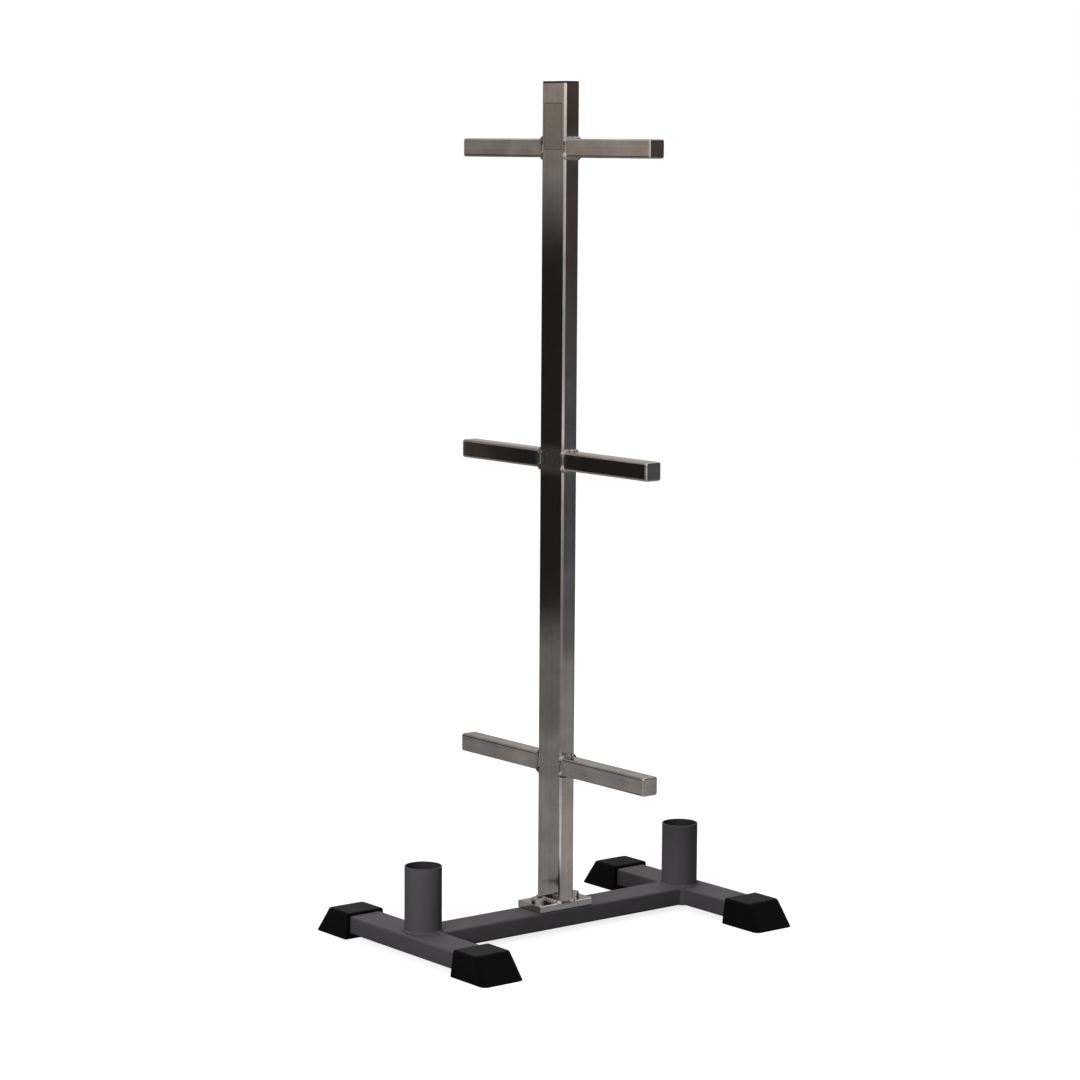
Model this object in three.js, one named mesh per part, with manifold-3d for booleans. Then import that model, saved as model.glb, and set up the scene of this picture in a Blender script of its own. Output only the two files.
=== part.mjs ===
// Plate tree: a plated upright with three pairs of plate arms, bolted to a powder-coated base
// that has a round bar holder at each end and a moulded cap on each of its four feet.
// Lengths are millimetres and +Z is up. The origin is on the floor under the post's axis.
// X runs along the base beam, and Y along the plate arms and the two foot tubes.

import * as THREE from "three";
import { mergeVertices } from "three/addons/utils/BufferGeometryUtils.js";
import Module from "manifold-3d";

const wasm = await Module();
wasm.setup();

// Upright post: a rectangular tube, its wide sides along the arms
const postDepth = 60;
const postWidth = 30;
const postWall = 2;
const postCornerRadius = 4;
const postFootToLowestArm = 227;
const topArmToPostTop = 103;

// Plate arms: square tubes butted on the post's narrow faces, one pair at each level
const armLevels = 3;
const armSpacing = 500;
const armReach = 209;
const armSize = 30;
const armWall = 2;
const armCornerRadius = 4;
const armCapThickness = 4;
const armCapEdgeRadius = 2.5;

// Post top cap: a thin head over a hollow skirt with gripping fins
const plugHeadThickness = 3;
const plugHeadEdgeRadius = 2.2;
const plugSkirtDepth = 18;
const plugSkirtWall = 1.8;
const plugSkirtClearance = 1;
const plugFinCount = 3;
const plugFinThickness = 1.2;
const plugFinClearance = 0.3;

// Mounting plate under the post, as wide as the post is deep
const plateLength = 110;
const plateThickness = 12;
const plateCornerRadius = 2;
const plateEdgeChamfer = 1.2;

// Bolts and weld nuts that hold the mounting plate on the beam
const boltDiameter = 12;
const boltHeadAcrossFlats = 18;
const boltHeadHeight = 7.5;
const boltPastNut = 0.5;
const boltEndChamfer = 1;
const boltHoleClearance = 0.75;
const nutAcrossFlats = 18;
const nutHeight = 10;
const threadClearance = 0.3;

// Base tubes: the beam and the two foot tubes are of one flat rectangular stock
const baseTubeWidth = 60;
const baseTubeHeight = 30;
const baseTubeWall = 2;
const baseTubeCornerRadius = 4;
const footSpacing = 562;
const footTubeLength = 380;

// Bar holders: round tubes that stand across the joints of the beam and the foot tubes
const holderDiameter = 60;
const holderWall = 2.5;
const holderHeight = 105;
const holderInset = 12;
const holderRimRadius = 0.8;

// Foot caps: moulded shoes on the tube ends, with a flared wall and a sloping toe
const soleThickness = 8;
const footCapLip = 5;
const footCapSideWall = 4.5;
const footCapSideFlare = 6;
const footCapGrip = 48;
const footCapEndWall = 9.5;
const footCapToe = 30;
const footCapClearance = 0.3;
const footCapTopEdgeRadius = 3;
const footCapSoleEdgeRadius = 1.5;
const footCapBackCornerRadius = 2;
const footCapTopCornerRadius = 6;
const footCapToeCornerRadius = 10;
const footCapPocketCount = 3;
const footCapPocketWall = 5;
const footCapPocketRib = 4;
const footCapPocketCornerRadius = 1.5;
const footCapTreadCount = 4;
const footCapTreadWidth = 3.5;
const footCapTreadDepth = 1.5;
const footCapTreadMargin = 6;

// Weld beads: a fillet where faces meet in a corner, and a lower seam where they lie flush
const armFilletRadius = 3.6;
const armSeamRadius = 2.2;
const postFilletRadius = 3.6;
const postSeamRadius = 1.8;
const beamFilletRadius = 4;
const beamSeamRadius = 2.4;
const holderFilletRadius = 3.4;

// Gap between a weld bead and the pieces it joins, and how far a cut runs past what it cuts
const seatGap = 0.25;
const overrun = 5;
const mergeDistance = 0.0001;

// Shares of the sizes they are used with
const leastInnerRadiusShare = 0.1;
const hexFaceShare = 0.95;
const mostEdgeShare = 0.95;
const footCapPocketHeightShare = 0.6;
const filletStartShare = 0.35;
const filletEndShare = 0.8;

// Facets of rounded corners, edges, rings and weld beads
const tubeCornerSteps = 4;
const pocketCornerSteps = 2;
const edgeSteps = 2;
const ringSegments = 48;
const boltSegments = 24;
const beadSides = 8;
const beadCornerSteps = 3;
const beadSideSteps = 4;
const hexSides = 6;
const hexChamferAngle = Math.PI / 6;
const quarterTurn = Math.PI / 2;
const halfTurn = Math.PI;
const fullTurn = 2 * Math.PI;

// Heights and places that follow from the sizes above
const baseTop = soleThickness + baseTubeHeight;
const baseMiddle = soleThickness + baseTubeHeight / 2;
const plateTop = baseTop + plateThickness;
const postHeight = postFootToLowestArm + (armLevels - 1) * armSpacing + topArmToPostTop;
const armTubeLength = armReach - armCapThickness;
const beamLength = footSpacing - baseTubeWidth;
const boltOffset = (postWidth / 2 + postFilletRadius + plateLength / 2) / 2;
const boltHoleRadius = boltDiameter / 2 + boltHoleClearance;
const clampedThickness = plateThickness + baseTubeWall;
const boltShankLength = clampedThickness + nutHeight + boltPastNut;
const footCapHeight = baseTop + footCapLip;
const footCapBack = footTubeLength / 2 - footCapGrip;
const footCapTopEnd = footTubeLength / 2 + footCapEndWall;
const footCapSoleEnd = footCapTopEnd + footCapToe;
const footCapTopHalfWidth = baseTubeWidth / 2 + footCapSideWall;

// Finishes, as seen on the real object
const platedSteel = { color: "#b3aaa4", roughness: 0.2, metalness: 1 };
const zincPlatedSteel = { color: "#c3c4c6", roughness: 0.35, metalness: 1 };
const powderCoatedSteel = { color: "#3a3b3e", roughness: 0.45, metalness: 0.1 };
const mouldedRubber = { color: "#18191b", roughness: 0.7, metalness: 0 };
const mouldedPlastic = { color: "#141416", roughness: 0.5, metalness: 0 };
const plainSteel = { color: "#8a8c8f", roughness: 0.5, metalness: 1 };

// A three.js geometry as a solid that can be cut and joined
function solidOf(geometry) {
  const bare = geometry.clone();
  bare.deleteAttribute("normal");
  bare.deleteAttribute("uv");
  const merged = mergeVertices(bare, mergeDistance);
  const vertProperties = merged.getAttribute("position").array;
  const triVerts = new Uint32Array(merged.getIndex().array);
  return new wasm.Manifold(new wasm.Mesh({ numProp: 3, vertProperties, triVerts }));
}

// A cut or joined solid as a three.js geometry with flat facets
function geometryOf(solid) {
  const { vertProperties, triVerts } = solid.getMesh();
  const indexed = new THREE.BufferGeometry();
  indexed.setAttribute("position", new THREE.BufferAttribute(vertProperties, 3));
  indexed.setIndex(new THREE.BufferAttribute(triVerts, 1));
  const faceted = indexed.toNonIndexed();
  faceted.computeVertexNormals();
  return faceted;
}

// A geometry with others cut away from it
function cut(geometry, ...tools) {
  const cutSolid = tools.reduce((solid, tool) => solid.subtract(solidOf(tool)), solidOf(geometry));
  return geometryOf(cutSolid);
}

// Several geometries joined into one
function join(geometry, ...others) {
  const joined = others.reduce((solid, other) => solid.add(solidOf(other)), solidOf(geometry));
  return geometryOf(joined);
}

// A rectangle with rounded corners, centred on the origin
function roundedRectangle(width, height, radius) {
  const x = width / 2 - radius;
  const y = height / 2 - radius;
  const shape = new THREE.Shape();
  shape.absarc(x, y, radius, 0, quarterTurn);
  shape.absarc(-x, y, radius, quarterTurn, halfTurn);
  shape.absarc(-x, -y, radius, halfTurn, halfTurn + quarterTurn);
  shape.absarc(x, -y, radius, halfTurn + quarterTurn, fullTurn);
  shape.closePath();
  return shape;
}

// A straight prism of a shape, standing on z = 0
function prism(shape, length) {
  const curveSegments = tubeCornerSteps / 2;
  return new THREE.ExtrudeGeometry(shape, { depth: length, bevelEnabled: false, curveSegments });
}

// A straight rectangular tube with rounded corners, open at both ends
function rectangularTube(width, height, wall, radius, length) {
  const shape = roundedRectangle(width, height, radius);
  const innerRadius = Math.max(radius - wall, radius * leastInnerRadiusShare);
  shape.holes.push(roundedRectangle(width - 2 * wall, height - 2 * wall, innerRadius));
  return prism(shape, length);
}

// A round bar on the z axis, from z = bottom to z = top
function roundBar(radius, bottom, top, segments) {
  const bar = new THREE.CylinderGeometry(radius, radius, top - bottom, segments);
  bar.rotateX(quarterTurn);
  bar.translate(0, 0, (bottom + top) / 2);
  return bar;
}

// A profile of [radius, height] points turned round the z axis
function turned(profile, segments) {
  const points = profile.map(([radius, height]) => new THREE.Vector2(radius, height));
  const solid = new THREE.LatheGeometry(points, segments);
  solid.rotateX(quarterTurn);
  return solid;
}

// A closed surface through outlines with as many points each, every one a list of Vector3.
// A looped surface joins its last outline to its first, and any other gets flat ends.
function loft(outlines, looped) {
  const count = outlines[0].length;
  const positions = outlines.flat().flatMap((point) => point.toArray());
  const index = [];
  const bands = looped ? outlines.length : outlines.length - 1;
  for (let band = 0; band < bands; band++) {
    const lower = band * count;
    const upper = ((band + 1) % outlines.length) * count;
    for (let side = 0; side < count; side++) {
      const next = (side + 1) % count;
      index.push(lower + side, lower + next, upper + next);
      index.push(lower + side, upper + next, upper + side);
    }
  }
  const last = (outlines.length - 1) * count;
  for (let side = 1; side < count - 1 && !looped; side++) {
    index.push(0, side + 1, side);
    index.push(last, last + side, last + side + 1);
  }
  const geometry = new THREE.BufferGeometry();
  geometry.setAttribute("position", new THREE.Float32BufferAttribute(positions, 3));
  geometry.setIndex(index);
  const faceted = geometry.toNonIndexed();
  faceted.computeVertexNormals();
  return faceted;
}

// A level outline: a rectangle whose two back and two front corners have their own radii.
// It runs counter-clockwise seen from above, and front is its +Y side.
function levelOutline(box, height, cornerSteps) {
  const { left, right, back, front, backRadius, frontRadius } = box;
  const corners = [
    [right - frontRadius, front - frontRadius, frontRadius],
    [left + frontRadius, front - frontRadius, frontRadius],
    [left + backRadius, back + backRadius, backRadius],
    [right - backRadius, back + backRadius, backRadius],
  ];
  const outline = [];
  corners.forEach(([x, y, radius], quarter) => {
    for (let step = 0; step <= cornerSteps; step++) {
      const angle = (quarter + step / cornerSteps) * quarterTurn;
      const reachX = radius * Math.cos(angle);
      const reachY = radius * Math.sin(angle);
      outline.push(new THREE.Vector3(x + reachX, y + reachY, height));
    }
  });
  return outline;
}

// The insets and drops of a rounded edge, from where it starts to where it ends
function edgeArc(radius) {
  return Array.from({ length: edgeSteps + 1 }, (_, step) => {
    const angle = (step / edgeSteps) * quarterTurn;
    return { inset: radius * (1 - Math.cos(angle)), drop: radius * (1 - Math.sin(angle)) };
  });
}

// A plate on z = 0 with rounded corners and a rounded upper edge
function pillowPlate(width, depth, cornerRadius, thickness, edgeRadius) {
  const outlineAt = (inset, height) => {
    const radius = cornerRadius - inset;
    const box = { left: inset - width / 2, right: width / 2 - inset };
    Object.assign(box, { back: inset - depth / 2, front: depth / 2 - inset });
    const radii = { backRadius: radius, frontRadius: radius };
    return levelOutline({ ...box, ...radii }, height, tubeCornerSteps);
  };
  const edge = Math.min(edgeRadius, Math.min(thickness, cornerRadius) * mostEdgeShare);
  const rounded = edgeArc(edge).map(({ inset, drop }) => outlineAt(inset, thickness - drop));
  return loft([outlineAt(0, 0), ...rounded], false);
}

// Turn a piece that stands along z so that it lies along y or x
function alongY(geometry) {
  return geometry.rotateX(-quarterTurn);
}

function alongX(geometry) {
  return geometry.rotateY(quarterTurn);
}

// A hexagonal prism on z = 0 with the chamfered corners of a bolt head or nut on its upper face
function hexagon(acrossFlats, height) {
  const cornerRadius = acrossFlats / 2 / Math.cos(halfTurn / hexSides);
  const faceRadius = (acrossFlats / 2) * hexFaceShare;
  const rimRadius = cornerRadius + overrun;
  const rimDrop = (rimRadius - faceRadius) * Math.tan(hexChamferAngle);
  const blank = roundBar(cornerRadius, 0, height, hexSides);
  const cone = turned(
    [
      [0, -overrun],
      [rimRadius, -overrun],
      [rimRadius, height - rimDrop],
      [faceRadius, height],
      [0, height],
    ],
    boltSegments,
  );
  return geometryOf(solidOf(blank).intersect(solidOf(cone)));
}

// The stations of a weld round a rounded rectangle: each has its point and outward direction
function seamStations(width, height, radius) {
  const corners = [
    [width / 2 - radius, height / 2 - radius],
    [radius - width / 2, height / 2 - radius],
    [radius - width / 2, radius - height / 2],
    [width / 2 - radius, radius - height / 2],
  ];
  const stations = [];
  corners.forEach(([x, y], quarter) => {
    for (let step = 0; step <= beadCornerSteps; step++) {
      const angle = (quarter + step / beadCornerSteps) * quarterTurn;
      const outward = new THREE.Vector2(Math.cos(angle), Math.sin(angle));
      const point = outward.clone().multiplyScalar(radius).add(new THREE.Vector2(x, y));
      stations.push({ point, outward });
    }
    const { point: start, outward } = stations[stations.length - 1];
    const [nextX, nextY] = corners[(quarter + 1) % corners.length];
    const end = outward.clone().multiplyScalar(radius).add(new THREE.Vector2(nextX, nextY));
    for (let step = 1; step < beadSideSteps; step++) {
      const point = start.clone().lerp(end, step / beadSideSteps);
      stations.push({ point, outward });
    }
  });
  return stations;
}

// A weld bead round a rounded rectangle in the xy plane, centred on z = 0.
// The bead is a fillet on the two sides that face along the named axis, wraps the corners,
// and thins to a low seam along the other two sides.
function weldRing(width, height, cornerRadius, filletAxis, filletRadius, seamRadius) {
  const half = filletAxis === "x" ? width / 2 : height / 2;
  const sections = seamStations(width, height, cornerRadius).map(({ point, outward }) => {
    const share = Math.abs(point[filletAxis]) / half;
    const blend = THREE.MathUtils.smoothstep(share, filletStartShare, filletEndShare);
    const radius = THREE.MathUtils.lerp(seamRadius, filletRadius, blend);
    return Array.from({ length: beadSides }, (_, side) => {
      const turn = (side / beadSides) * fullTurn;
      const reach = radius * Math.cos(turn);
      const rise = -radius * Math.sin(turn);
      return new THREE.Vector3(point.x + outward.x * reach, point.y + outward.y * reach, rise);
    });
  });
  return loft(sections, true);
}

// A solid tube outline grown by the seat gap, to cut weld beads with
function seatBlank(width, height, cornerRadius, length) {
  const grown = 2 * seatGap;
  return prism(roundedRectangle(width + grown, height + grown, cornerRadius + seatGap), length);
}

// The arm's bead, where its end meets the narrow face of the post; the arm runs along +Y
function armWeld() {
  const bead = weldRing(armSize, armSize, armCornerRadius, "y", armFilletRadius, armSeamRadius);
  alongY(bead).translate(0, postDepth / 2, 0);
  const arm = alongY(seatBlank(armSize, armSize, armCornerRadius, armTubeLength));
  arm.translate(0, postDepth / 2 - seatGap, 0);
  const postPiece = seatBlank(postWidth, postDepth, postCornerRadius, armSize * 2);
  postPiece.translate(0, 0, -armSize);
  return cut(bead, arm, postPiece);
}

// The bead round the post's foot: fillets on the plate, and flush seams over the plate's edges
function postFootWeld() {
  const radii = [postFilletRadius, postSeamRadius];
  const bead = weldRing(postWidth, postDepth, postCornerRadius, "x", ...radii);
  const postPiece = seatBlank(postWidth, postDepth, postCornerRadius, postDepth);
  postPiece.translate(0, 0, -seatGap);
  const plate = seatBlank(plateLength, postDepth, plateCornerRadius, plateThickness);
  plate.translate(0, 0, seatGap - plateThickness);
  return cut(bead, postPiece, plate);
}

// The bead round the beam's right end: fillets in the two inner corners, a seam underneath,
// and a seam on top that is ground flush to let the bar holder stand level
function beamWeld() {
  const beamSection = [baseTubeHeight, baseTubeWidth, baseTubeCornerRadius];
  const bead = alongX(weldRing(...beamSection, "y", beamFilletRadius, beamSeamRadius));
  const beam = alongX(seatBlank(...beamSection, beamLength));
  beam.translate(seatGap - beamLength, 0, 0);
  const footSection = [baseTubeWidth, baseTubeHeight, baseTubeCornerRadius];
  const footPiece = alongY(seatBlank(...footSection, baseTubeWidth * 2));
  footPiece.translate(baseTubeWidth / 2, -baseTubeWidth, 0);
  const ground = new THREE.BoxGeometry(baseTubeWidth, baseTubeWidth * 2, baseTubeHeight);
  ground.translate(0, 0, baseTubeHeight - seatGap);
  return cut(bead, beam, footPiece, ground);
}

// The fillet bead round a bar holder's foot
function holderWeld() {
  const inner = holderDiameter / 2 + seatGap;
  const profile = [[inner, seatGap]];
  for (let step = 0; step <= edgeSteps; step++) {
    const angle = (step / edgeSteps) * quarterTurn;
    const reach = holderFilletRadius * Math.cos(angle);
    const rise = holderFilletRadius * Math.sin(angle);
    profile.push([inner + reach, seatGap + rise]);
  }
  profile.push([inner, seatGap]);
  return turned(profile, ringSegments);
}

// A bar holder: a round tube on z = 0 with softened rim edges
function barHolder() {
  const outer = holderDiameter / 2;
  const inner = outer - holderWall;
  const rim = Math.min(holderRimRadius, (holderWall / 2) * mostEdgeShare);
  const outerRim = edgeArc(rim).map(({ inset, drop }) => [outer - inset, holderHeight - drop]);
  const innerRim = edgeArc(rim).map(({ inset, drop }) => [inner + inset, holderHeight - drop]);
  const profile = [[inner, 0], [outer, 0], ...outerRim, ...innerRim.reverse(), [inner, 0]];
  return turned(profile, ringSegments);
}

// The post's top cap: its head sits on z = 0, and its skirt and fins reach down into the tube
function postTopCap() {
  const head = pillowPlate(
    postWidth,
    postDepth,
    postCornerRadius,
    plugHeadThickness,
    plugHeadEdgeRadius,
  );
  const boreWidth = postWidth - 2 * postWall;
  const boreDepth = postDepth - 2 * postWall;
  const boreRadius = Math.max(postCornerRadius - postWall, postCornerRadius * leastInnerRadiusShare);
  const insetPrism = (inset, bottom, top) => {
    const radius = Math.max(boreRadius - inset, boreRadius * leastInnerRadiusShare);
    const outline = roundedRectangle(boreWidth - 2 * inset, boreDepth - 2 * inset, radius);
    return prism(outline, top - bottom).translate(0, 0, bottom);
  };
  const headMiddle = plugHeadThickness / 2;
  const skirt = insetPrism(plugSkirtClearance, -plugSkirtDepth, headMiddle);
  const finPitch = plugSkirtDepth / (plugFinCount + 1);
  const fins = Array.from({ length: plugFinCount }, (_, fin) => {
    const middle = -(fin + 1) * finPitch;
    const halfThickness = plugFinThickness / 2;
    return insetPrism(plugFinClearance, middle - halfThickness, middle + halfThickness);
  });
  const hollow = insetPrism(plugSkirtClearance + plugSkirtWall, -plugSkirtDepth - overrun, 0);
  return cut(join(head, skirt, ...fins), hollow);
}

// The steel plate under the post, with its two bolt holes and chamfered edges
function mountingPlate() {
  const chamfer = plateEdgeChamfer;
  const outline = roundedRectangle(
    plateLength - 2 * chamfer,
    postDepth - 2 * chamfer,
    Math.max(plateCornerRadius - chamfer, plateCornerRadius * leastInnerRadiusShare),
  );
  const blank = new THREE.ExtrudeGeometry(outline, {
    depth: plateThickness - 2 * chamfer,
    bevelThickness: chamfer,
    bevelSize: chamfer,
    bevelSegments: 1,
    curveSegments: tubeCornerSteps / 2,
  });
  blank.translate(0, 0, chamfer);
  const holes = [-boltOffset, boltOffset].map((place) =>
    roundBar(boltHoleRadius, -overrun, plateThickness + overrun, boltSegments).translate(place, 0, 0),
  );
  return cut(blank, ...holes);
}

// The base beam, centred on the origin along X, with two bolt holes through its top wall
function baseBeam() {
  const section = [baseTubeHeight, baseTubeWidth, baseTubeWall, baseTubeCornerRadius];
  const tube = alongX(rectangularTube(...section, beamLength));
  tube.translate(-beamLength / 2, 0, 0);
  const holes = [-boltOffset, boltOffset].map((place) =>
    roundBar(boltHoleRadius, 0, baseTubeHeight, boltSegments).translate(place, 0, 0),
  );
  return cut(tube, ...holes);
}

// A hexagon bolt with the underside of its head on z = 0
function mountingBolt() {
  const head = hexagon(boltHeadAcrossFlats, boltHeadHeight);
  const radius = boltDiameter / 2;
  const shank = turned(
    [
      [0, -boltShankLength],
      [radius - boltEndChamfer, -boltShankLength],
      [radius, boltEndChamfer - boltShankLength],
      [radius, boltHeadHeight / 2],
      [0, boltHeadHeight / 2],
    ],
    boltSegments,
  );
  return join(head, shank);
}

// A hexagon weld nut hanging below z = 0, its chamfered face down
function weldNut() {
  const blank = hexagon(nutAcrossFlats, nutHeight).rotateX(halfTurn);
  const bore = boltDiameter / 2 + threadClearance;
  return cut(blank, roundBar(bore, -nutHeight - overrun, overrun, boltSegments));
}

// A foot cap in the frame of its tube's end: z = 0 is the floor and +Y runs out to the toe
function footCap() {
  const shareAt = (height) => height / footCapHeight;
  const halfWidthAt = (height) => footCapTopHalfWidth + footCapSideFlare * (1 - shareAt(height));
  const toeAt = (height) => footCapSoleEnd - footCapToe * shareAt(height);
  const outlineAt = (height, inset) => {
    const rounding = THREE.MathUtils.lerp(
      footCapToeCornerRadius,
      footCapTopCornerRadius,
      shareAt(height),
    );
    const box = { left: inset - halfWidthAt(height), right: halfWidthAt(height) - inset };
    Object.assign(box, { back: footCapBack + inset, front: toeAt(height) - inset });
    const radii = { backRadius: footCapBackCornerRadius, frontRadius: rounding };
    return levelOutline({ ...box, ...radii }, height, tubeCornerSteps);
  };
  const soleEdge = edgeArc(footCapSoleEdgeRadius).reverse();
  const topEdge = edgeArc(footCapTopEdgeRadius);
  const shell = loft(
    [
      ...soleEdge.map(({ inset, drop }) => outlineAt(drop, inset)),
      ...topEdge.map(({ inset, drop }) => outlineAt(footCapHeight - drop, inset)),
    ],
    false,
  );
  const room = 2 * footCapClearance;
  const socket = alongY(
    prism(
      roundedRectangle(
        baseTubeWidth + room,
        baseTubeHeight + room,
        baseTubeCornerRadius + footCapClearance,
      ),
      footCapGrip + overrun + footCapClearance,
    ),
  );
  socket.translate(0, footCapBack - overrun, baseMiddle);
  return cut(shell, socket, ...footCapPockets(halfWidthAt, toeAt), ...footCapTreads());
}

// The hollows that core the toe from below, side by side between moulded ribs
function footCapPockets(halfWidthAt, toeAt) {
  const back = footTubeLength / 2 + footCapClearance + footCapPocketWall;
  const radius = footCapPocketCornerRadius;
  const pocketAt = (height, pocket) => {
    const inner = halfWidthAt(height) - footCapPocketWall;
    const pitch = (2 * inner + footCapPocketRib) / footCapPocketCount;
    const left = pocket * pitch - inner;
    const front = toeAt(height) - footCapPocketWall;
    const box = { left, right: left + pitch - footCapPocketRib, back, front };
    const radii = { backRadius: radius, frontRadius: radius };
    return levelOutline({ ...box, ...radii }, height, pocketCornerSteps);
  };
  const top = footCapHeight * footCapPocketHeightShare;
  return Array.from({ length: footCapPocketCount }, (_, pocket) =>
    loft([pocketAt(-overrun, pocket), pocketAt(top, pocket)], false),
  );
}

// The grooves across the sole, under the tube
function footCapTreads() {
  const length = 2 * (footCapTopHalfWidth + footCapSideFlare - footCapTreadMargin);
  const pitch = footCapGrip / footCapTreadCount;
  return Array.from({ length: footCapTreadCount }, (_, tread) => {
    const groove = new THREE.BoxGeometry(length, footCapTreadWidth, 2 * footCapTreadDepth);
    return groove.translate(0, footCapBack + (tread + 1 / 2) * pitch, 0);
  });
}

// Hang a named piece in a group, with a material of its own
function addPiece(group, name, geometry, finish) {
  const piece = new THREE.Mesh(geometry, new THREE.MeshStandardMaterial(finish));
  piece.name = name;
  group.add(piece);
  return piece;
}

// One arm with its weld and end cap, in a group that is turned to point along -Y or +Y
function plateArm(ending, turn) {
  const arm = new THREE.Group();
  arm.rotation.z = turn;
  const section = [armSize, armSize, armWall, armCornerRadius];
  const tube = alongY(rectangularTube(...section, armTubeLength));
  addPiece(arm, `plate_arm_${ending}`, tube, platedSteel).position.y = postDepth / 2;
  const capSizes = [armSize, armSize, armCornerRadius, armCapThickness, armCapEdgeRadius];
  const cap = alongY(pillowPlate(...capSizes));
  addPiece(arm, `arm_end_cap_${ending}`, cap, platedSteel).position.y =
    postDepth / 2 + armTubeLength;
  addPiece(arm, `arm_weld_${ending}`, armWeld(), platedSteel);
  return arm;
}

// The upright: mounting plate, post, top cap and the arms, standing on z = 0 of its group
function upright() {
  const group = new THREE.Group();
  addPiece(group, "mounting_plate", mountingPlate(), platedSteel);
  const postSection = [postWidth, postDepth, postWall, postCornerRadius];
  const post = rectangularTube(...postSection, postHeight);
  addPiece(group, "upright_post", post, platedSteel).position.z = plateThickness;
  addPiece(group, "post_foot_weld", postFootWeld(), platedSteel).position.z = plateThickness;
  addPiece(group, "post_top_cap", postTopCap(), mouldedPlastic).position.z =
    plateThickness + postHeight;
  const levelNames = ["low", "middle", "top"];
  for (let level = 0; level < armLevels; level++) {
    const levelName = levelNames[level] ?? `level_${level + 1}`;
    const height = plateThickness + postFootToLowestArm + level * armSpacing;
    for (const [side, turn] of [["front", halfTurn], ["back", 0]]) {
      const arm = plateArm(`${levelName}_${side}`, turn);
      arm.position.z = height;
      group.add(arm);
    }
  }
  return group;
}

// One bolt with its weld nut, placed from the top face of the mounting plate
function fastening(side, place) {
  const group = new THREE.Group();
  group.position.x = place;
  addPiece(group, `mounting_bolt_${side}`, mountingBolt(), zincPlatedSteel);
  addPiece(group, `weld_nut_${side}`, weldNut(), plainSteel).position.z = -clampedThickness;
  return group;
}

// One end of the base: foot tube, welds, bar holder and two foot caps; outward is -1 or +1 in X
function baseEnd(side, outward) {
  const group = new THREE.Group();
  const turn = outward < 0 ? halfTurn : 0;
  const footPlace = (outward * footSpacing) / 2;
  const holderPlace = footPlace - outward * holderInset;
  const section = [baseTubeWidth, baseTubeHeight, baseTubeWall, baseTubeCornerRadius];
  const tube = alongY(rectangularTube(...section, footTubeLength));
  tube.translate(0, -footTubeLength / 2, 0);
  addPiece(group, `foot_tube_${side}`, tube, powderCoatedSteel).position.set(
    footPlace,
    0,
    baseMiddle,
  );
  const weld = addPiece(group, `beam_weld_${side}`, beamWeld(), powderCoatedSteel);
  weld.position.set((outward * beamLength) / 2, 0, baseMiddle);
  weld.rotation.z = turn;
  const holder = addPiece(group, `bar_holder_${side}`, barHolder(), powderCoatedSteel);
  holder.position.set(holderPlace, 0, baseTop);
  const bead = addPiece(group, `holder_weld_${side}`, holderWeld(), powderCoatedSteel);
  bead.position.set(holderPlace, 0, baseTop);
  for (const [end, capTurn] of [["front", halfTurn], ["back", 0]]) {
    const cap = addPiece(group, `foot_cap_${end}_${side}`, footCap(), mouldedRubber);
    cap.position.x = footPlace;
    cap.rotation.z = capTurn;
  }
  return group;
}

const plateTree = new THREE.Group();
plateTree.name = "plate_tree";
const beam = addPiece(plateTree, "base_beam", baseBeam(), powderCoatedSteel);
beam.position.z = baseMiddle;
const standing = upright();
standing.position.z = baseTop;
plateTree.add(standing);
for (const [side, outward] of [["left", -1], ["right", 1]]) {
  plateTree.add(baseEnd(side, outward));
  const fasteners = fastening(side, outward * boltOffset);
  fasteners.position.z = plateTop;
  plateTree.add(fasteners);
}

export default plateTree;
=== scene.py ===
"""The look of a plate tree: a plated upright with six plate arms on a powder-coated base.

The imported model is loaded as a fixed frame. Every piece that shows is then built again in
finer form on the place of its node, and dressed in the finish that the real one has.
Builders work in millimetres, with +Z up, X along the base beam and Y along the arms, and
a piece is turned to metres only when its mesh is made.
"""

import logging
import math
import random
from dataclasses import dataclass, replace
from enum import Enum
from functools import cached_property
from typing import Sequence

import bmesh
import bpy
from bpy.types import ID, Material, Mesh, Node, NodeSocket, NodeTree, Object
from mathutils import Matrix, Vector


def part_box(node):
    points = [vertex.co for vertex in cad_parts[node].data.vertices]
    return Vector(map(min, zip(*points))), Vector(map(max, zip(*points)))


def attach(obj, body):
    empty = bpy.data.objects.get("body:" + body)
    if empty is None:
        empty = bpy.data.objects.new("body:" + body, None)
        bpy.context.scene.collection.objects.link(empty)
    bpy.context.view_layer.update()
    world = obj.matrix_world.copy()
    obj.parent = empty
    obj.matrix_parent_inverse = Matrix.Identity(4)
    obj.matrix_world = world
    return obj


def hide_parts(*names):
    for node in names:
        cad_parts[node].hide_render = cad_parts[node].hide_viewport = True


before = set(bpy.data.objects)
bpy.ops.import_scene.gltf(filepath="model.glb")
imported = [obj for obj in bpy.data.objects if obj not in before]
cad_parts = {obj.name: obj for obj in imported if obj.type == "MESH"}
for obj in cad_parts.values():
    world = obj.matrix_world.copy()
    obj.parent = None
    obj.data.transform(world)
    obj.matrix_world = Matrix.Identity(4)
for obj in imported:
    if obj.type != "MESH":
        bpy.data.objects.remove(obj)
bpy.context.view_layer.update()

log = logging.getLogger("plate_tree")

# One millimetre in the scene's metres, and the only body of a rack that doesn't move
MM = 0.001
BODY = "root"

# Parts of a turn, and the angle past which an edge is drawn sharp
QUARTER_TURN = math.pi / 2
HALF_TURN = math.pi
FULL_TURN = 2 * math.pi
FULL_TURN_DEGREES = 360.0
SHARP_ANGLE = math.radians(38)

# How strongly large faces keep the shading at their corners flat, in percent
FACE_WEIGHT = 100

# Rows of a matrix that turns and moves
MATRIX_SIZE = 4

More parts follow.
